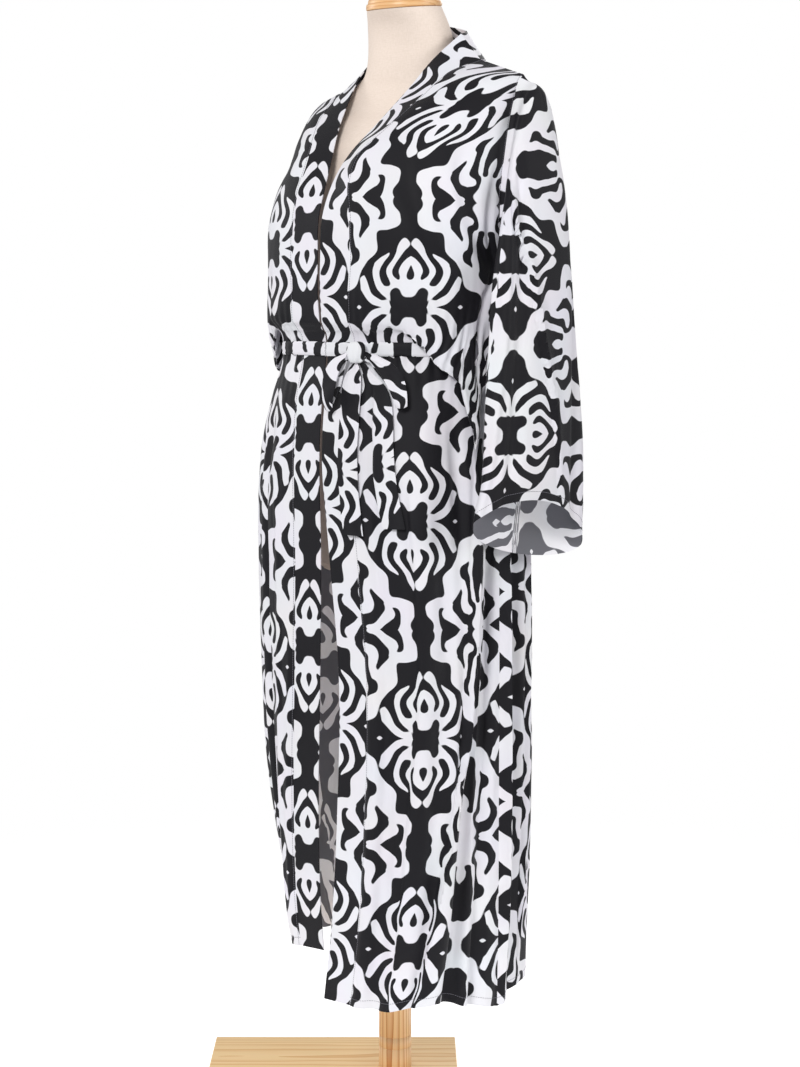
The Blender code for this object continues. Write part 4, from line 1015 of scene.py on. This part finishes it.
def form_linen():
    """Cream linen stretched over the form: matt, with slubs in both directions."""
    material, tree, shader = new_material("form_linen")
    spot = add_node(tree, "ShaderNodeTexCoord", {}, {})
    slubs = []
    for scale in SLUBS_PER_METRE:
        scaled = add_node(tree, "ShaderNodeMapping", {},
                          {"Vector": spot.outputs["Object"], "Scale": scale})
        slub = add_node(tree, "ShaderNodeTexNoise", {},
                        {"Vector": scaled.outputs[0], "Scale": 1.0, "Detail": 1.0})
        slubs.append(slub.outputs["Fac"])
    crossed = add_node(tree, "ShaderNodeMath", {"operation": "ADD"}, {0: slubs[0], 1: slubs[1]})
    shade = add_node(tree, "ShaderNodeMapRange", {},
                     {"Value": crossed.outputs[0], "From Min": 0.75, "From Max": 1.25})
    colour = add_node(tree, "ShaderNodeMix", {"data_type": "RGBA"},
                      {0: shade.outputs[0], 6: hex_colour("#e9d9cb"), 7: hex_colour("#f0e0d4")})
    bump = add_node(tree, "ShaderNodeBump", {},
                    {"Strength": 0.12, "Distance": RELIEF, "Height": crossed.outputs[0]})
    fill(tree, shader, {
        "Base Color": colour.outputs[2],
        "Roughness": 0.85,
        "Specular IOR Level": 0.2,
        "Normal": bump.outputs[0],
    })
    return material


# The trunk sways by up to 14 mm over a length of about 0.4 m. The fibres are about 1.1 mm
# across, where real ones are a tenth of that, so that they show, and 70 mm long.
SWAYS_PER_METRE = 26.0
SWAY_ALONG = (1.0, 1.0, 0.10)
SWAY = (0.014, 0.014, 0.0)
FIBRES_PER_METRE = (900.0, 900.0, 14.0)
# Late wood darkens only at the end of each year's ring.
LATE_WOOD_SHARP = 3.5
FIBRE_SHARE = 0.15


def lacquered_pine(name, turn, pith, early, late, ring):
    """Pine with a satin lacquer: year rings round a pith beside the piece, cut lengthwise.

    turn brings the trunk's axis along the piece's length, pith is where that axis passes,
    and ring is the width of a year's growth in metres.
    """
    material, tree, shader = new_material(name)
    spot = add_node(tree, "ShaderNodeTexCoord", {}, {})
    trunk = add_node(tree, "ShaderNodeMapping", {},
                     {"Vector": spot.outputs["Object"], "Rotation": turn, "Location": pith})
    stretched = add_node(tree, "ShaderNodeMapping", {}, {"Vector": trunk.outputs[0], "Scale": SWAY_ALONG})
    sway = add_node(tree, "ShaderNodeTexNoise", {},
                    {"Vector": stretched.outputs[0], "Scale": SWAYS_PER_METRE, "Detail": 2.0})
    shift = add_node(tree, "ShaderNodeVectorMath", {"operation": "MULTIPLY_ADD"},
                     {0: sway.outputs["Color"], 1: SWAY, 2: trunk.outputs[0]})
    flat = add_node(tree, "ShaderNodeVectorMath", {"operation": "MULTIPLY"},
                    {0: shift.outputs[0], 1: (1.0, 1.0, 0.0)})
    reach = add_node(tree, "ShaderNodeVectorMath", {"operation": "LENGTH"}, {0: flat.outputs[0]})
    years = add_node(tree, "ShaderNodeMath", {"operation": "DIVIDE"},
                     {0: reach.outputs["Value"], 1: ring})
    year = add_node(tree, "ShaderNodeMath", {"operation": "FRACT"}, {0: years.outputs[0]})
    late_wood = add_node(tree, "ShaderNodeMath", {"operation": "POWER"},
                         {0: year.outputs[0], 1: LATE_WOOD_SHARP})
    fibres = add_node(tree, "ShaderNodeMapping", {},
                      {"Vector": trunk.outputs[0], "Scale": FIBRES_PER_METRE})
    fibre = add_node(tree, "ShaderNodeTexNoise", {},
                     {"Vector": fibres.outputs[0], "Scale": 1.0, "Detail": 2.0})
    colour = add_node(tree, "ShaderNodeMix", {"data_type": "RGBA"},
                      {0: late_wood.outputs[0], 6: hex_colour(early), 7: hex_colour(late)})
    streaked = add_node(tree, "ShaderNodeMix", {"data_type": "RGBA", "blend_type": "MULTIPLY"},
                        {0: FIBRE_SHARE, 6: colour.outputs[2], 7: fibre.outputs["Color"]})
    bump = add_node(tree, "ShaderNodeBump", {},
                    {"Strength": 0.12, "Distance": RELIEF, "Height": fibre.outputs["Fac"]})
    fill(tree, shader, {
        "Base Color": streaked.outputs[2],
        "Roughness": 0.42,
        "Specular IOR Level": 0.4,
        "Coat Weight": 0.15,
        "Coat Roughness": 0.25,
        "Normal": bump.outputs[0],
    })
    return material


def sewing_thread():
    """Spun polyester thread, grey between the print's two colours."""
    material, tree, shader = new_material("sewing_thread")
    fill(tree, shader, {"Base Color": hex_colour("#77767f"), "Roughness": 0.6, "Specular IOR Level": 0.3})
    return material


# The turns that bring the trunk's axis up the pole, along the board's long side, and level
# through the cap.
POLE_GRAIN = (0.0, 0.0, 0.0)
BOARD_GRAIN = (math.pi / 2.0, BASE_TURN - math.pi / 2.0, 0.0)
CAP_GRAIN = (0.0, math.pi / 2.0, 0.0)
POLE_PITH = (-0.03, 0.05, 0.0)
BOARD_PITH = (0.05, 0.12, 0.0)
CAP_PITH = (0.0, 0.05, 1.1)

# The white paper that the stand is on fades into the studio's white at its rim.
FLOOR_RADIUS = 1.9
FLOOR_FADE_FROM = 0.45
FLOOR_SIDES = 96
FLOOR_GLOW = 0.50


def floor_paper():
    """White background paper: matt, lit to white, fading out at the rim of the round floor."""
    material, tree, shader = new_material("floor_paper")
    spot = add_node(tree, "ShaderNodeTexCoord", {}, {})
    reach = add_node(tree, "ShaderNodeVectorMath", {"operation": "LENGTH"}, {0: spot.outputs["Object"]})
    fade = add_node(tree, "ShaderNodeMapRange", {"interpolation_type": "SMOOTHSTEP"},
                    {"Value": reach.outputs["Value"], "From Min": FLOOR_FADE_FROM,
                     "From Max": FLOOR_RADIUS, "To Min": 1.0, "To Max": 0.0})
    fill(tree, shader, {
        "Base Color": hex_colour("#f6f6f6"),
        "Roughness": 0.9,
        "Specular IOR Level": 0.1,
        "Emission Color": hex_colour("#ffffff"),
        "Emission Strength": FLOOR_GLOW,
        "Alpha": fade.outputs[0],
    })
    return material


def put_in_scene(name, data):
    """A new object for a mesh, camera or light."""
    thing = bpy.data.objects.new(name, data)
    bpy.context.scene.collection.objects.link(thing)
    return thing


def dressed(mesh, materials):
    """A piece from a mesh, with its materials and with smooth faces between sharp edges."""
    for material in materials:
        mesh.materials.append(material)
    mesh.shade_smooth()
    mesh.set_sharp_from_angle(angle=SHARP_ANGLE)
    return put_in_scene(mesh.name, mesh)


def new_piece(name, points, faces, materials):
    """A piece from its points and faces."""
    mesh = bpy.data.meshes.new(name)
    mesh.from_pydata([tuple(point) for point in points], [], faces)
    return dressed(mesh, materials)


def store_map(piece, per_vertex):
    """Writes the cloth map, one pair a vertex, to the piece's UV map."""
    mesh = piece.data
    layer = mesh.uv_layers.new(name="cloth")
    corners = np.empty(len(mesh.loops), dtype=np.int32)
    mesh.loops.foreach_get("vertex_index", corners)
    layer.data.foreach_set("uv", np.asarray(per_vertex)[corners].ravel())


def cloth_wall(name, grid, normals, spots, thick, materials, closed, sense):
    """A thin closed wall of cloth: the first material on its right side, the second inside."""
    rows, columns = grid.shape[:2]
    count = rows * columns
    points = np.concatenate([grid.reshape(-1, 3), (grid - normals * thick).reshape(-1, 3)])
    spans = columns if closed else columns - 1
    faces, inside = [], []
    for i in range(rows - 1):
        for j in range(spans):
            k = (j + 1) % columns
            a, b = i * columns + j, i * columns + k
            c, d = b + columns, a + columns
            faces += [(a, b, c, d), (a + count, d + count, c + count, b + count)]
            inside += [0, 1]
    last = (rows - 1) * columns
    for j in range(spans):
        k = (j + 1) % columns
        faces.append((j, j + count, k + count, k))
        faces.append((last + j, last + k, last + k + count, last + j + count))
    for i in range(0 if closed else rows - 1):
        a, d = i * columns, (i + 1) * columns
        e, f = a + columns - 1, d + columns - 1
        faces += [(a, d, d + count, a + count), (e, e + count, f + count, f)]
    inside += [0] * (len(faces) - len(inside))
    if sense < 0.0:
        faces = [face[::-1] for face in faces]
    piece = new_piece(name, points, faces, materials)
    if len(materials) > 1:
        piece.data.polygons.foreach_set("material_index", inside)
    flat = spots.reshape(-1, 2)
    store_map(piece, np.concatenate([flat, flat]))
    return piece


# What each piece is cut from, flat: width and length of its cloth in metres, its own area,
# and how it is held. Widths and lengths hold the flare and the cloth in the blouse.
Cut = namedtuple("Cut", "wide long area held rests_on")


def stand_for(piece, node):
    """Says which solid a piece stands for: puts the piece under the root and hides that solid."""
    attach(piece, "root")
    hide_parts(node)


def hang_sheet(piece, node):
    """Says which solid a cloth piece stands for: puts the piece under the root and hides that solid."""
    stand_for(piece, node)


def make_cloth(right_side, wrong_side):
    """The coat's eight cloth pieces. Returns their points and normals, by node."""
    shells = {}
    for name, (grid, closed, sense) in coat_grids().items():
        band = name.startswith("band")
        normals = wall_normals(grid, closed) * sense
        grid = add_folds(name, grid, normals)
        spots = cloth_map(name, grid, closed)
        if not band:
            grid = drape(name, grid, wall_normals(grid, closed) * sense, closed)
        normals = wall_normals(grid, closed) * sense
        shells[name] = (grid, normals)
        materials = [right_side] if band else [right_side, wrong_side]
        piece = cloth_wall(name + "_cloth", grid, normals, spots, BAND_CLOTH if band else CLOTH,
                           materials, closed, sense)
        hang_sheet(piece, name)
    return shells


# Stitches: how far in from an edge each seam runs, and the thread, in metres. The real
# thread is about 0.3 mm thick. It is drawn at 0.6 mm, to show.
HEM_IN = 0.013
SEAM_IN = 0.0028
STITCH_LIFT = 0.0001
STITCH_PITCH = 0.0036
STITCH_LONG = 0.0026
THREAD_RADIUS = 0.0003
THREAD_SIDES = 5
STITCH_SIZES = {"Pitch": STITCH_PITCH, "Stitch Length": STITCH_LONG, "Thread Radius": THREAD_RADIUS}


def seam_line(grid, normals, side, distance):
    """A line over the cloth at a distance in from its low, high, first or last edge."""
    if side in ("low", "high"):
        grid, normals = grid.transpose(1, 0, 2), normals.transpose(1, 0, 2)
    if side in ("high", "last"):
        grid, normals = grid[:, ::-1], normals[:, ::-1]
    along = lengths_across(grid)
    raised = grid + normals * STITCH_LIFT
    return np.array([at(distance, along[k], raised[k]) for k in range(len(grid))])


def stitch_tree(thread):
    """A Geometry Nodes tree: short lengths of thread in a row along each line of edges."""
    tree = bpy.data.node_groups.new("stitches", "GeometryNodeTree")
    face = tree.interface
    face.new_socket("Geometry", in_out="INPUT", socket_type="NodeSocketGeometry")
    for name, size in STITCH_SIZES.items():
        face.new_socket(name, in_out="INPUT", socket_type="NodeSocketFloat").default_value = size
    face.new_socket("Geometry", in_out="OUTPUT", socket_type="NodeSocketGeometry")
    given = add_node(tree, "NodeGroupInput", {}, {})
    line = add_node(tree, "GeometryNodeMeshToCurve", {}, {"Mesh": given.outputs["Geometry"]})
    spaced = add_node(tree, "GeometryNodeResampleCurve", {"mode": "LENGTH"},
                      {"Curve": line.outputs[0], "Length": given.outputs["Pitch"]})
    stitch = add_node(tree, "GeometryNodeMeshCylinder", {},
                      {"Vertices": THREAD_SIDES, "Radius": given.outputs["Thread Radius"],
                       "Depth": given.outputs["Stitch Length"]})
    tangent = add_node(tree, "GeometryNodeInputTangent", {}, {})
    turned = add_node(tree, "FunctionNodeAlignRotationToVector", {"axis": "Z"},
                      {"Vector": tangent.outputs[0]})
    placed = add_node(tree, "GeometryNodeInstanceOnPoints", {},
                      {"Points": spaced.outputs[0], "Instance": stitch.outputs["Mesh"],
                       "Rotation": turned.outputs[0]})
    real = add_node(tree, "GeometryNodeRealizeInstances", {}, {0: placed.outputs[0]})
    coloured = add_node(tree, "GeometryNodeSetMaterial", {},
                        {"Geometry": real.outputs[0], "Material": thread})
    add_node(tree, "NodeGroupOutput", {}, {0: coloured.outputs[0]})
    return tree


def make_stitches(name, lines, tree):
    """Rows of stitches along the lines, as one mesh."""
    edges, start = [], 0
    for line in lines:
        edges += [(start + k, start + k + 1) for k in range(len(line) - 1)]
        start += len(line)
    mesh = bpy.data.meshes.new(name + "_lines")
    mesh.from_pydata([tuple(point) for point in np.concatenate(lines)], edges, [])
    guide = put_in_scene(name + "_lines", mesh)
    modifier = guide.modifiers.new("stitches", "NODES")
    modifier.node_group = tree
    for item in tree.interface.items_tree:
        if item.in_out == "INPUT" and item.name in STITCH_SIZES:
            modifier[item.identifier] = STITCH_SIZES[item.name]
    shaped = guide.evaluated_get(bpy.context.evaluated_depsgraph_get())
    made = bpy.data.meshes.new_from_object(shaped)
    made.name = name
    bpy.data.objects.remove(guide)
    piece = put_in_scene(name, made)
    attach(piece, "root")


# Each row of stitches: its pieces, the edge that it follows, how far in, and its first row.
STITCHED = {
    "hem_stitches": (("front_left", "front_right", "back"), "low", HEM_IN, None),
    "cuff_stitches": (("sleeve_left", "sleeve_right"), "high", HEM_IN, None),
    "band_stitches": (("front_left", "front_right"), "first", SEAM_IN, None),
    "armhole_stitches": (("front_left", "front_right"), "last", SEAM_IN, "underarm"),
}


def stitch_coat(shells, thread):
    """The coat's rows of stitches: hems, cuffs, beside the front band's seam, and armholes."""
    tree = stitch_tree(thread)
    for name, (pieces, side, distance, start) in STITCHED.items():
        lines = [seam_line(*shells[piece], side, distance) for piece in pieces]
        if name == "cuff_stitches":
            lines = [np.concatenate([line, line[:1]]) for line in lines]
        if start:
            lines = [line[row_of(start):] for line in lines]
        make_stitches(name, lines, tree)


# The belt's section is a flat oval of BELT_ROUND points, pleated lengthwise, and its line
# sways up and down a little on its way round the waist.
BELT_STEPS = 420
BELT_ROUND = 20
BELT_SMOOTH = 9
BELT_GAP = 0.0006
BELT_SQUARE = 0.7
BELT_PLEAT = 0.0007
PLEAT_PITCH = 0.0068
PLEAT_SWAY = 0.35
PLEAT_SWAY_TURN = 9.0
BELT_SWAY = 0.0010
BELT_SWAY_TURN = 14.0
BELT_PRINT_FROM = 0.02
BELT_PRINT_STEP = 0.0020


def waist_ring(grids):
    """The line round the cloth at the middle of the belt, evenly spaced and smoothed."""
    row = (row_of("belt_low") + row_of("belt_high")) // 2
    ring = np.concatenate([
        grids["band_left"][row, :-1],
        grids["front_left"][row, :-1],
        grids["back"][row, :-1],
        grids["front_right"][row, ::-1][:-1],
        grids["band_right"][row, ::-1],
        grids["band_left"][row, :1],
    ])
    ring = evenly(ring, np.linspace(0.0, 1.0, BELT_STEPS + 1))[:-1]
    reach = BELT_SMOOTH // 2
    for axis in (0, 1):
        padded = np.concatenate([ring[-reach:, axis], ring[:, axis], ring[:reach, axis]])
        ring[:, axis] = np.convolve(padded, np.ones(BELT_SMOOTH) / BELT_SMOOTH, "valid")
    return ring


def make_belt(grids, right_side):
    """The waist's belt: a soft band folded along its length, pulled tight round the cloth."""
    ring = waist_ring(grids)
    side = np.roll(ring, -1, axis=0) - np.roll(ring, 1, axis=0)
    out = np.stack([side[:, 1], -side[:, 0], np.zeros(len(ring))], axis=1)
    out /= np.linalg.norm(out, axis=1, keepdims=True)
    along = run_of(ring)
    points, spots = [], []
    for k in range(BELT_ROUND):
        turn = 2.0 * math.pi * k / BELT_ROUND
        sine, cosine = math.sin(turn), math.cos(turn)
        high = BELT_HALF_HIGH * math.copysign(abs(cosine) ** BELT_SQUARE, cosine)
        stray = PLEAT_SWAY * np.sin(along * PLEAT_SWAY_TURN)
        pleat = BELT_PLEAT * np.sin(2.0 * math.pi * (high / PLEAT_PITCH + stray))
        reach = BELT_THICK / 2.0 * (1.0 + sine) + BELT_GAP + pleat * max(sine, 0.0)
        line = ring + out * reach[:, None]
        line[:, 2] = BELT_MIDDLE + high + BELT_SWAY * np.sin(along * BELT_SWAY_TURN)
        points.append(line)
        print_up = np.full(len(along), BELT_PRINT_FROM + k * BELT_PRINT_STEP)
        spots.append(np.stack([along, print_up], axis=1))
    faces = ring_faces(BELT_ROUND, len(ring), True)
    piece = new_piece("belt_cloth", np.concatenate(points), faces, [right_side])
    store_map(piece, np.concatenate(spots))
    hang_sheet(piece, "belt")


def ring_faces(rings, sides, closed):
    """Faces between rings of points that follow one another in a mesh."""
    faces = []
    for ring in range(rings if closed else rings - 1):
        low, high = ring * sides, (ring + 1) % rings * sides
        for turn in range(sides):
            after = (turn + 1) % sides
            faces.append((low + turn, low + after, high + after, high + turn))
    return faces


def front_frame(grids):
    """The band's and the front's columns side by side, up to the blouse's mouth."""
    grid = np.concatenate([grids["band_left"][:, :-1], grids["front_left"]], axis=1)
    return grid[:row_of("mouth") + 1]


# The cloth's direction at a point is taken over this distance to each side.
BESIDE = 0.012


def front_point(frame, across, height, out):
    """A point over the left front: across is metres from the band's free edge."""
    line = np.array([at(height, column[:, 2], column) for column in frame.transpose(1, 0, 2)])
    here, after, before = at(np.array((across, across + BESIDE, across - BESIDE)), run_of(line), line)
    side = after - before
    normal = np.array((side[1], -side[0], 0.0))
    normal /= np.linalg.norm(normal)
    return here + normal * out, normal


# A loop curls and narrows over the last 30 mm to its turn.
LOOP_CURL = 0.0042
LOOP_NARROW = 0.42
LOOP_END = 0.030
STRIPS = {
    "belt_tail_left": TAIL_LEFT,
    "belt_tail_right": TAIL_RIGHT,
    "belt_loop_left": LOOP_LEFT,
    "belt_loop_right": LOOP_RIGHT,
}
RIPPLE = 0.0007
RIPPLE_TURN = 95.0
STRIP_BULGE = 0.0006
STRIP_PRINT_STEP = 0.01


def loop_end(node, rows):
    """How near each row is to a loop's turn, from 0 at the knot to 1. Tails have none."""
    low = min(row.height for row in rows)
    loop = node.startswith("belt_loop")
    return [max(0.0, 1.0 - (row.height - low) / LOOP_END) if loop else 0.0 for row in rows]


def make_strip(node, rows, frame, right_side):
    """A loop or tail of the bow, from its table of rows. A loop rolls in at its turn."""
    grid, facing = [], None
    for row, end in zip(rows, loop_end(node, rows)):
        spread = [j / STRIP_COLUMNS - 0.5 for j in range(STRIP_COLUMNS + 1)]
        wide = row.wide * (1.0 - LOOP_NARROW * end)
        sag = [LOOP_CURL * (1.0 - 4.0 * place ** 2) * end for place in spread]
        line = [front_point(frame, row.across + wide * place, row.height - drop, row.out)
                for place, drop in zip(spread, sag)]
        facing = line[0][1] if facing is None else facing
        grid.append([point for point, _normal in line])
    grid = spline_rows(grid, [STRIP_FINE] * (len(rows) - 1))
    normals = wall_normals(grid)
    sense = math.copysign(1.0, float(np.dot(normals[0, STRIP_COLUMNS // 2], facing)))
    across = np.linspace(-1.0, 1.0, STRIP_COLUMNS + 1)[None, :]
    up = lengths_up(grid)
    ripple = RIPPLE * np.sin(up * RIPPLE_TURN + 2.0 * across) + STRIP_BULGE * (1.0 - across ** 2)
    grid = grid + normals * sense * ripple[:, :, None]
    spots = turned_print(lengths_across(grid) + STRIP_PRINT_STEP * len(node), up, 0.0)
    piece = cloth_wall(node + "_cloth", grid, wall_normals(grid) * sense, spots, STRIP_CLOTH,
                       [right_side], False, sense)
    hang_sheet(piece, node)


# The knot is a rounded block, a little larger than its solid, so that its creases reach it.
KNOT_STEPS = 26
KNOT_SIDES = 40
KNOT_CREASE = 0.0010
KNOT_CREASES = 7.0
KNOT_TWIST = 1.3
KNOT_ROUND = 0.55
KNOT_FULL = (1.08, 1.15, 1.08)
KNOT_PRINT = (0.30, 0.05)
KNOT_PRINT_WIDE = 0.017


def make_knot(frame, right_side):
    """The bow's knot: cloth pulled over itself, with creases from top to bottom."""
    centre, normal = front_point(frame, KNOT_ACROSS, KNOT_HEIGHT, BELT_THICK + BELT_GAP + KNOT_HALF[1])
    side = np.array((-normal[1], normal[0], 0.0))
    rings, spots = [], []
    for step in range(KNOT_STEPS + 1):
        lean = math.pi * (step / KNOT_STEPS - 0.5)
        full = max(math.cos(lean), 0.0) ** KNOT_ROUND
        rise = math.sin(lean) * KNOT_HALF[2] * KNOT_FULL[2]
        ring = []
        for turn in range(KNOT_SIDES):
            angle = 2.0 * math.pi * turn / KNOT_SIDES
            crease = KNOT_CREASE * math.sin(KNOT_CREASES * angle + KNOT_TWIST * lean) * full
            across = (full * KNOT_HALF[0] + crease) * math.cos(angle) * KNOT_FULL[0]
            deep = (full * KNOT_HALF[1] + crease) * math.sin(angle) * KNOT_FULL[1]
            ring.append(centre + side * across + normal * deep + np.array((0.0, 0.0, rise)))
            spots.append((KNOT_PRINT[0] + KNOT_PRINT_WIDE * angle / math.pi, KNOT_PRINT[1] + rise))
        rings.append(ring)
    piece = stacked("belt_knot_cloth", rings, right_side)
    store_map(piece, spots)
    stand_for(piece, "belt_knot")


def outward(piece):
    """Turns a closed piece's faces outwards."""
    shell = bmesh.new()
    shell.from_mesh(piece.data)
    bmesh.ops.recalc_face_normals(shell, faces=shell.faces)
    shell.to_mesh(piece.data)
    shell.free()


def ring_points(ring, tilt=0.0):
    """One level section of the dress form, tilted forward by tilt."""
    points = []
    for turn in range(TORSO_SIDES):
        angle = 2.0 * math.pi * turn / TORSO_SIDES
        power = 2.0 / ring.square
        sine, cosine = math.sin(angle), math.cos(angle)
        x = ring.half_wide * math.copysign(abs(sine) ** power, sine)
        deep = ring.front_deep if cosine > 0.0 else ring.back_deep
        y = -deep * math.copysign(abs(cosine) ** power, cosine)
        points.append((x, ring.middle_y + y, ring.z + y * math.sin(tilt)))
    return points


def stacked(name, rings, material):
    """A solid through rings of the same number of points, with flat ends."""
    sides = len(rings[0])
    points = [point for ring in rings for point in ring]
    ends = [tuple(range(sides)), tuple(range(len(points) - sides, len(points)))]
    piece = new_piece(name, points, ends + ring_faces(len(rings), sides, False), [material])
    outward(piece)
    return piece


# The neck cap's edge, as radius and height over the neck, and the dome above it.
CAP_PROFILE = ((0.0560, 0.0005), (0.0580, 0.0012), (0.0585, 0.0026), (0.0585, 0.0082), (0.0578, 0.0098),
               (0.0560, 0.0106))
CAP_DOME_STEPS = 16
TORSO_FINE = 5


def make_form(linen, wood):
    """The linen form, smooth through the table's rings, and its turned neck cap."""
    rings = [ring_points(ring) for ring in TORSO[:-1]] + [ring_points(TORSO[-1], NECK_TILT)]
    fine = spline_rows(rings, [TORSO_FINE] * (len(rings) - 1))
    stand_for(stacked("linen_torso", fine, linen), "form_torso")
    top = TORSO[-1]
    profile = list(CAP_PROFILE)
    radius, start = profile[-1]
    for step in range(1, CAP_DOME_STEPS):
        angle = math.pi / 2.0 * step / CAP_DOME_STEPS
        rise = start + (CAP_EDGE + CAP_RISE - start) * math.sin(angle)
        profile.append((radius * math.cos(angle), rise))
    cap = [ring_points(Ring(top.z + rise, top.middle_y, wide, wide, wide, 2.0), NECK_TILT)
           for wide, rise in profile]
    stand_for(stacked("neck_cap_turned", cap, wood), "neck_cap")


def circle(radius, z, sides):
    """The points of a level circle round the pole's axis."""
    angles = [2.0 * math.pi * turn / sides for turn in range(sides)]
    return [(radius * math.cos(angle), radius * math.sin(angle), z) for angle in angles]


# The pole's lengths from the board up: piece, solid, and the heights of its ends.
POLE = (
    ("pole_foot_turned", "pole_foot", BASE_THICK, FOOT_TOP),
    ("pole_collar_turned", "pole_collar", FOOT_TOP, COLLAR_TOP),
    ("pole_turned", "pole", COLLAR_TOP, POLE_TOP),
)


def make_pole(wood):
    """The turned pole, whose lengths have eased ends that leave a fine line at each joint."""
    for name, node, low, high in POLE:
        profile = ((POLE_RADIUS - GROOVE, low), (POLE_RADIUS, low + GROOVE),
                   (POLE_RADIUS, high - GROOVE), (POLE_RADIUS - GROOVE, high))
        rings = [circle(radius, z, TURNED_SIDES) for radius, z in profile]
        stand_for(stacked(name, rings, wood), node)


def make_base(wood):
    """The board: a bevelled slab, turned on the floor."""
    mesh = bpy.data.meshes.new("pine_base")
    board = bmesh.new()
    bmesh.ops.create_cube(board, size=1.0)
    bmesh.ops.scale(board, vec=(BASE_LONG, BASE_DEEP, BASE_THICK), verts=board.verts)
    bmesh.ops.bevel(board, geom=board.edges[:], offset=BASE_ROUND, segments=3, affect="EDGES",
                    profile=0.5)
    bmesh.ops.translate(board, vec=(-BASE_SHIFT, 0.0, BASE_THICK / 2.0), verts=board.verts)
    turn = Matrix.Rotation(BASE_TURN, 3, "Z")
    bmesh.ops.rotate(board, cent=(0.0, 0.0, 0.0), matrix=turn, verts=board.verts)
    board.to_mesh(mesh)
    board.free()
    stand_for(dressed(mesh, [wood]), "base")


# The camera, at the photo's angle: round to the wearer's left, and looking a little down.
CAMERA_AZIMUTH = math.radians(40.0)
CAMERA_TILT = math.radians(5.95)
CAMERA_BACK = 3.5
CAMERA_HIGH = 1.251
CAMERA_ASIDE = 0.0078
FOCAL_PIXELS = 2240.0
PICTURE_HIGH = 1067.0
SENSOR = 36.0


def place_camera():
    """Sets the camera to the photo's view."""
    data = bpy.data.cameras.new("camera")
    data.sensor_fit = "VERTICAL"
    data.sensor_height = SENSOR
    data.lens = FOCAL_PIXELS / PICTURE_HIGH * SENSOR
    camera = put_in_scene("camera", data)
    back = Vector((math.sin(CAMERA_AZIMUTH), -math.cos(CAMERA_AZIMUTH), 0.0))
    right = Vector((math.cos(CAMERA_AZIMUTH), math.sin(CAMERA_AZIMUTH), 0.0))
    camera.location = back * CAMERA_BACK + right * CAMERA_ASIDE + Vector((0.0, 0.0, CAMERA_HIGH))
    camera.rotation_euler = (math.pi / 2.0 - CAMERA_TILT, 0.0, CAMERA_AZIMUTH)
    bpy.context.scene.camera = camera


# Each light: azimuth round the form in degrees from the front, height, distance, size, watts.
Lamp = namedtuple("Lamp", "azimuth high away size watts")
LAMPS = (
    Lamp(22.0, 2.6, 3.2, 1.0, 72.0),
    Lamp(112.0, 2.3, 3.4, 1.2, 38.0),
    Lamp(-75.0, 2.2, 3.4, 1.4, 36.0),
    Lamp(200.0, 2.8, 3.4, 1.6, 44.0),
)
ROOM_LIGHT = 0.42
LIGHT_AIM = Vector((0.0, 0.0, 1.0))


def light_studio():
    """Soft boxes all round, in a white room that looks brighter than it lights."""
    for index, lamp in enumerate(LAMPS):
        data = bpy.data.lights.new(f"softbox_{index}", "AREA")
        data.size = lamp.size
        data.energy = lamp.watts
        angle = math.radians(lamp.azimuth)
        place = Vector((math.sin(angle) * lamp.away, -math.cos(angle) * lamp.away, lamp.high))
        light = put_in_scene(f"softbox_{index}", data)
        light.location = place
        light.rotation_euler = (place - LIGHT_AIM).to_track_quat("Z", "Y").to_euler()
    world = bpy.data.worlds.new("studio")
    world.use_nodes = True
    tree = world.node_tree
    path = add_node(tree, "ShaderNodeLightPath", {}, {})
    strength = add_node(tree, "ShaderNodeMapRange", {},
                        {"Value": path.outputs["Is Camera Ray"], "To Min": ROOM_LIGHT, "To Max": 1.0})
    background = {"Color": hex_colour("#ffffff"), "Strength": strength.outputs[0]}
    fill(tree, tree.nodes["Background"], background)
    bpy.context.scene.world = world
    bpy.context.scene.view_settings.view_transform = "Standard"


def lay_floor():
    """The round floor of background paper."""
    rim = circle(FLOOR_RADIUS, 0.0, FLOOR_SIDES)
    floor = new_piece("studio_floor", rim, [tuple(range(FLOOR_SIDES))], [floor_paper()])


def main():
    """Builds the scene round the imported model."""
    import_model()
    place_camera()
    light_studio()
    lay_floor()
    right_side = printed_viscose("printed_viscose", "#18171c", "#ecebf1", 0.62, 0.0)
    # The wrong side has a faint painted glow, 0.16, in place of the light that the thin cloth lets
    # through.
    wrong_side = printed_viscose("viscose_wrong_side_painted_glow", "#6b6b71", "#f0eff3", 0.75, 0.16)
    linen = form_linen()
    pole_wood = lacquered_pine("pine_pole", POLE_GRAIN, POLE_PITH, "#ffdaa8", "#cf8444", 0.0070)
    board_wood = lacquered_pine("pine_board", BOARD_GRAIN, BOARD_PITH, "#fbd69c", "#e4ae68", 0.0065)
    cap_wood = lacquered_pine("pine_cap", CAP_GRAIN, CAP_PITH, "#f5c48c", "#d9985a", 0.0060)
    shells = make_cloth(right_side, wrong_side)
    stitch_coat(shells, sewing_thread())
    grids = {name: shell[0] for name, shell in shells.items()}
    make_belt(grids, right_side)
    frame = front_frame(grids)
    for node, rows in STRIPS.items():
        make_strip(node, rows, frame, right_side)
    make_knot(frame, right_side)
    make_form(linen, cap_wood)
    make_pole(pole_wood)
    make_base(board_wood)


main()
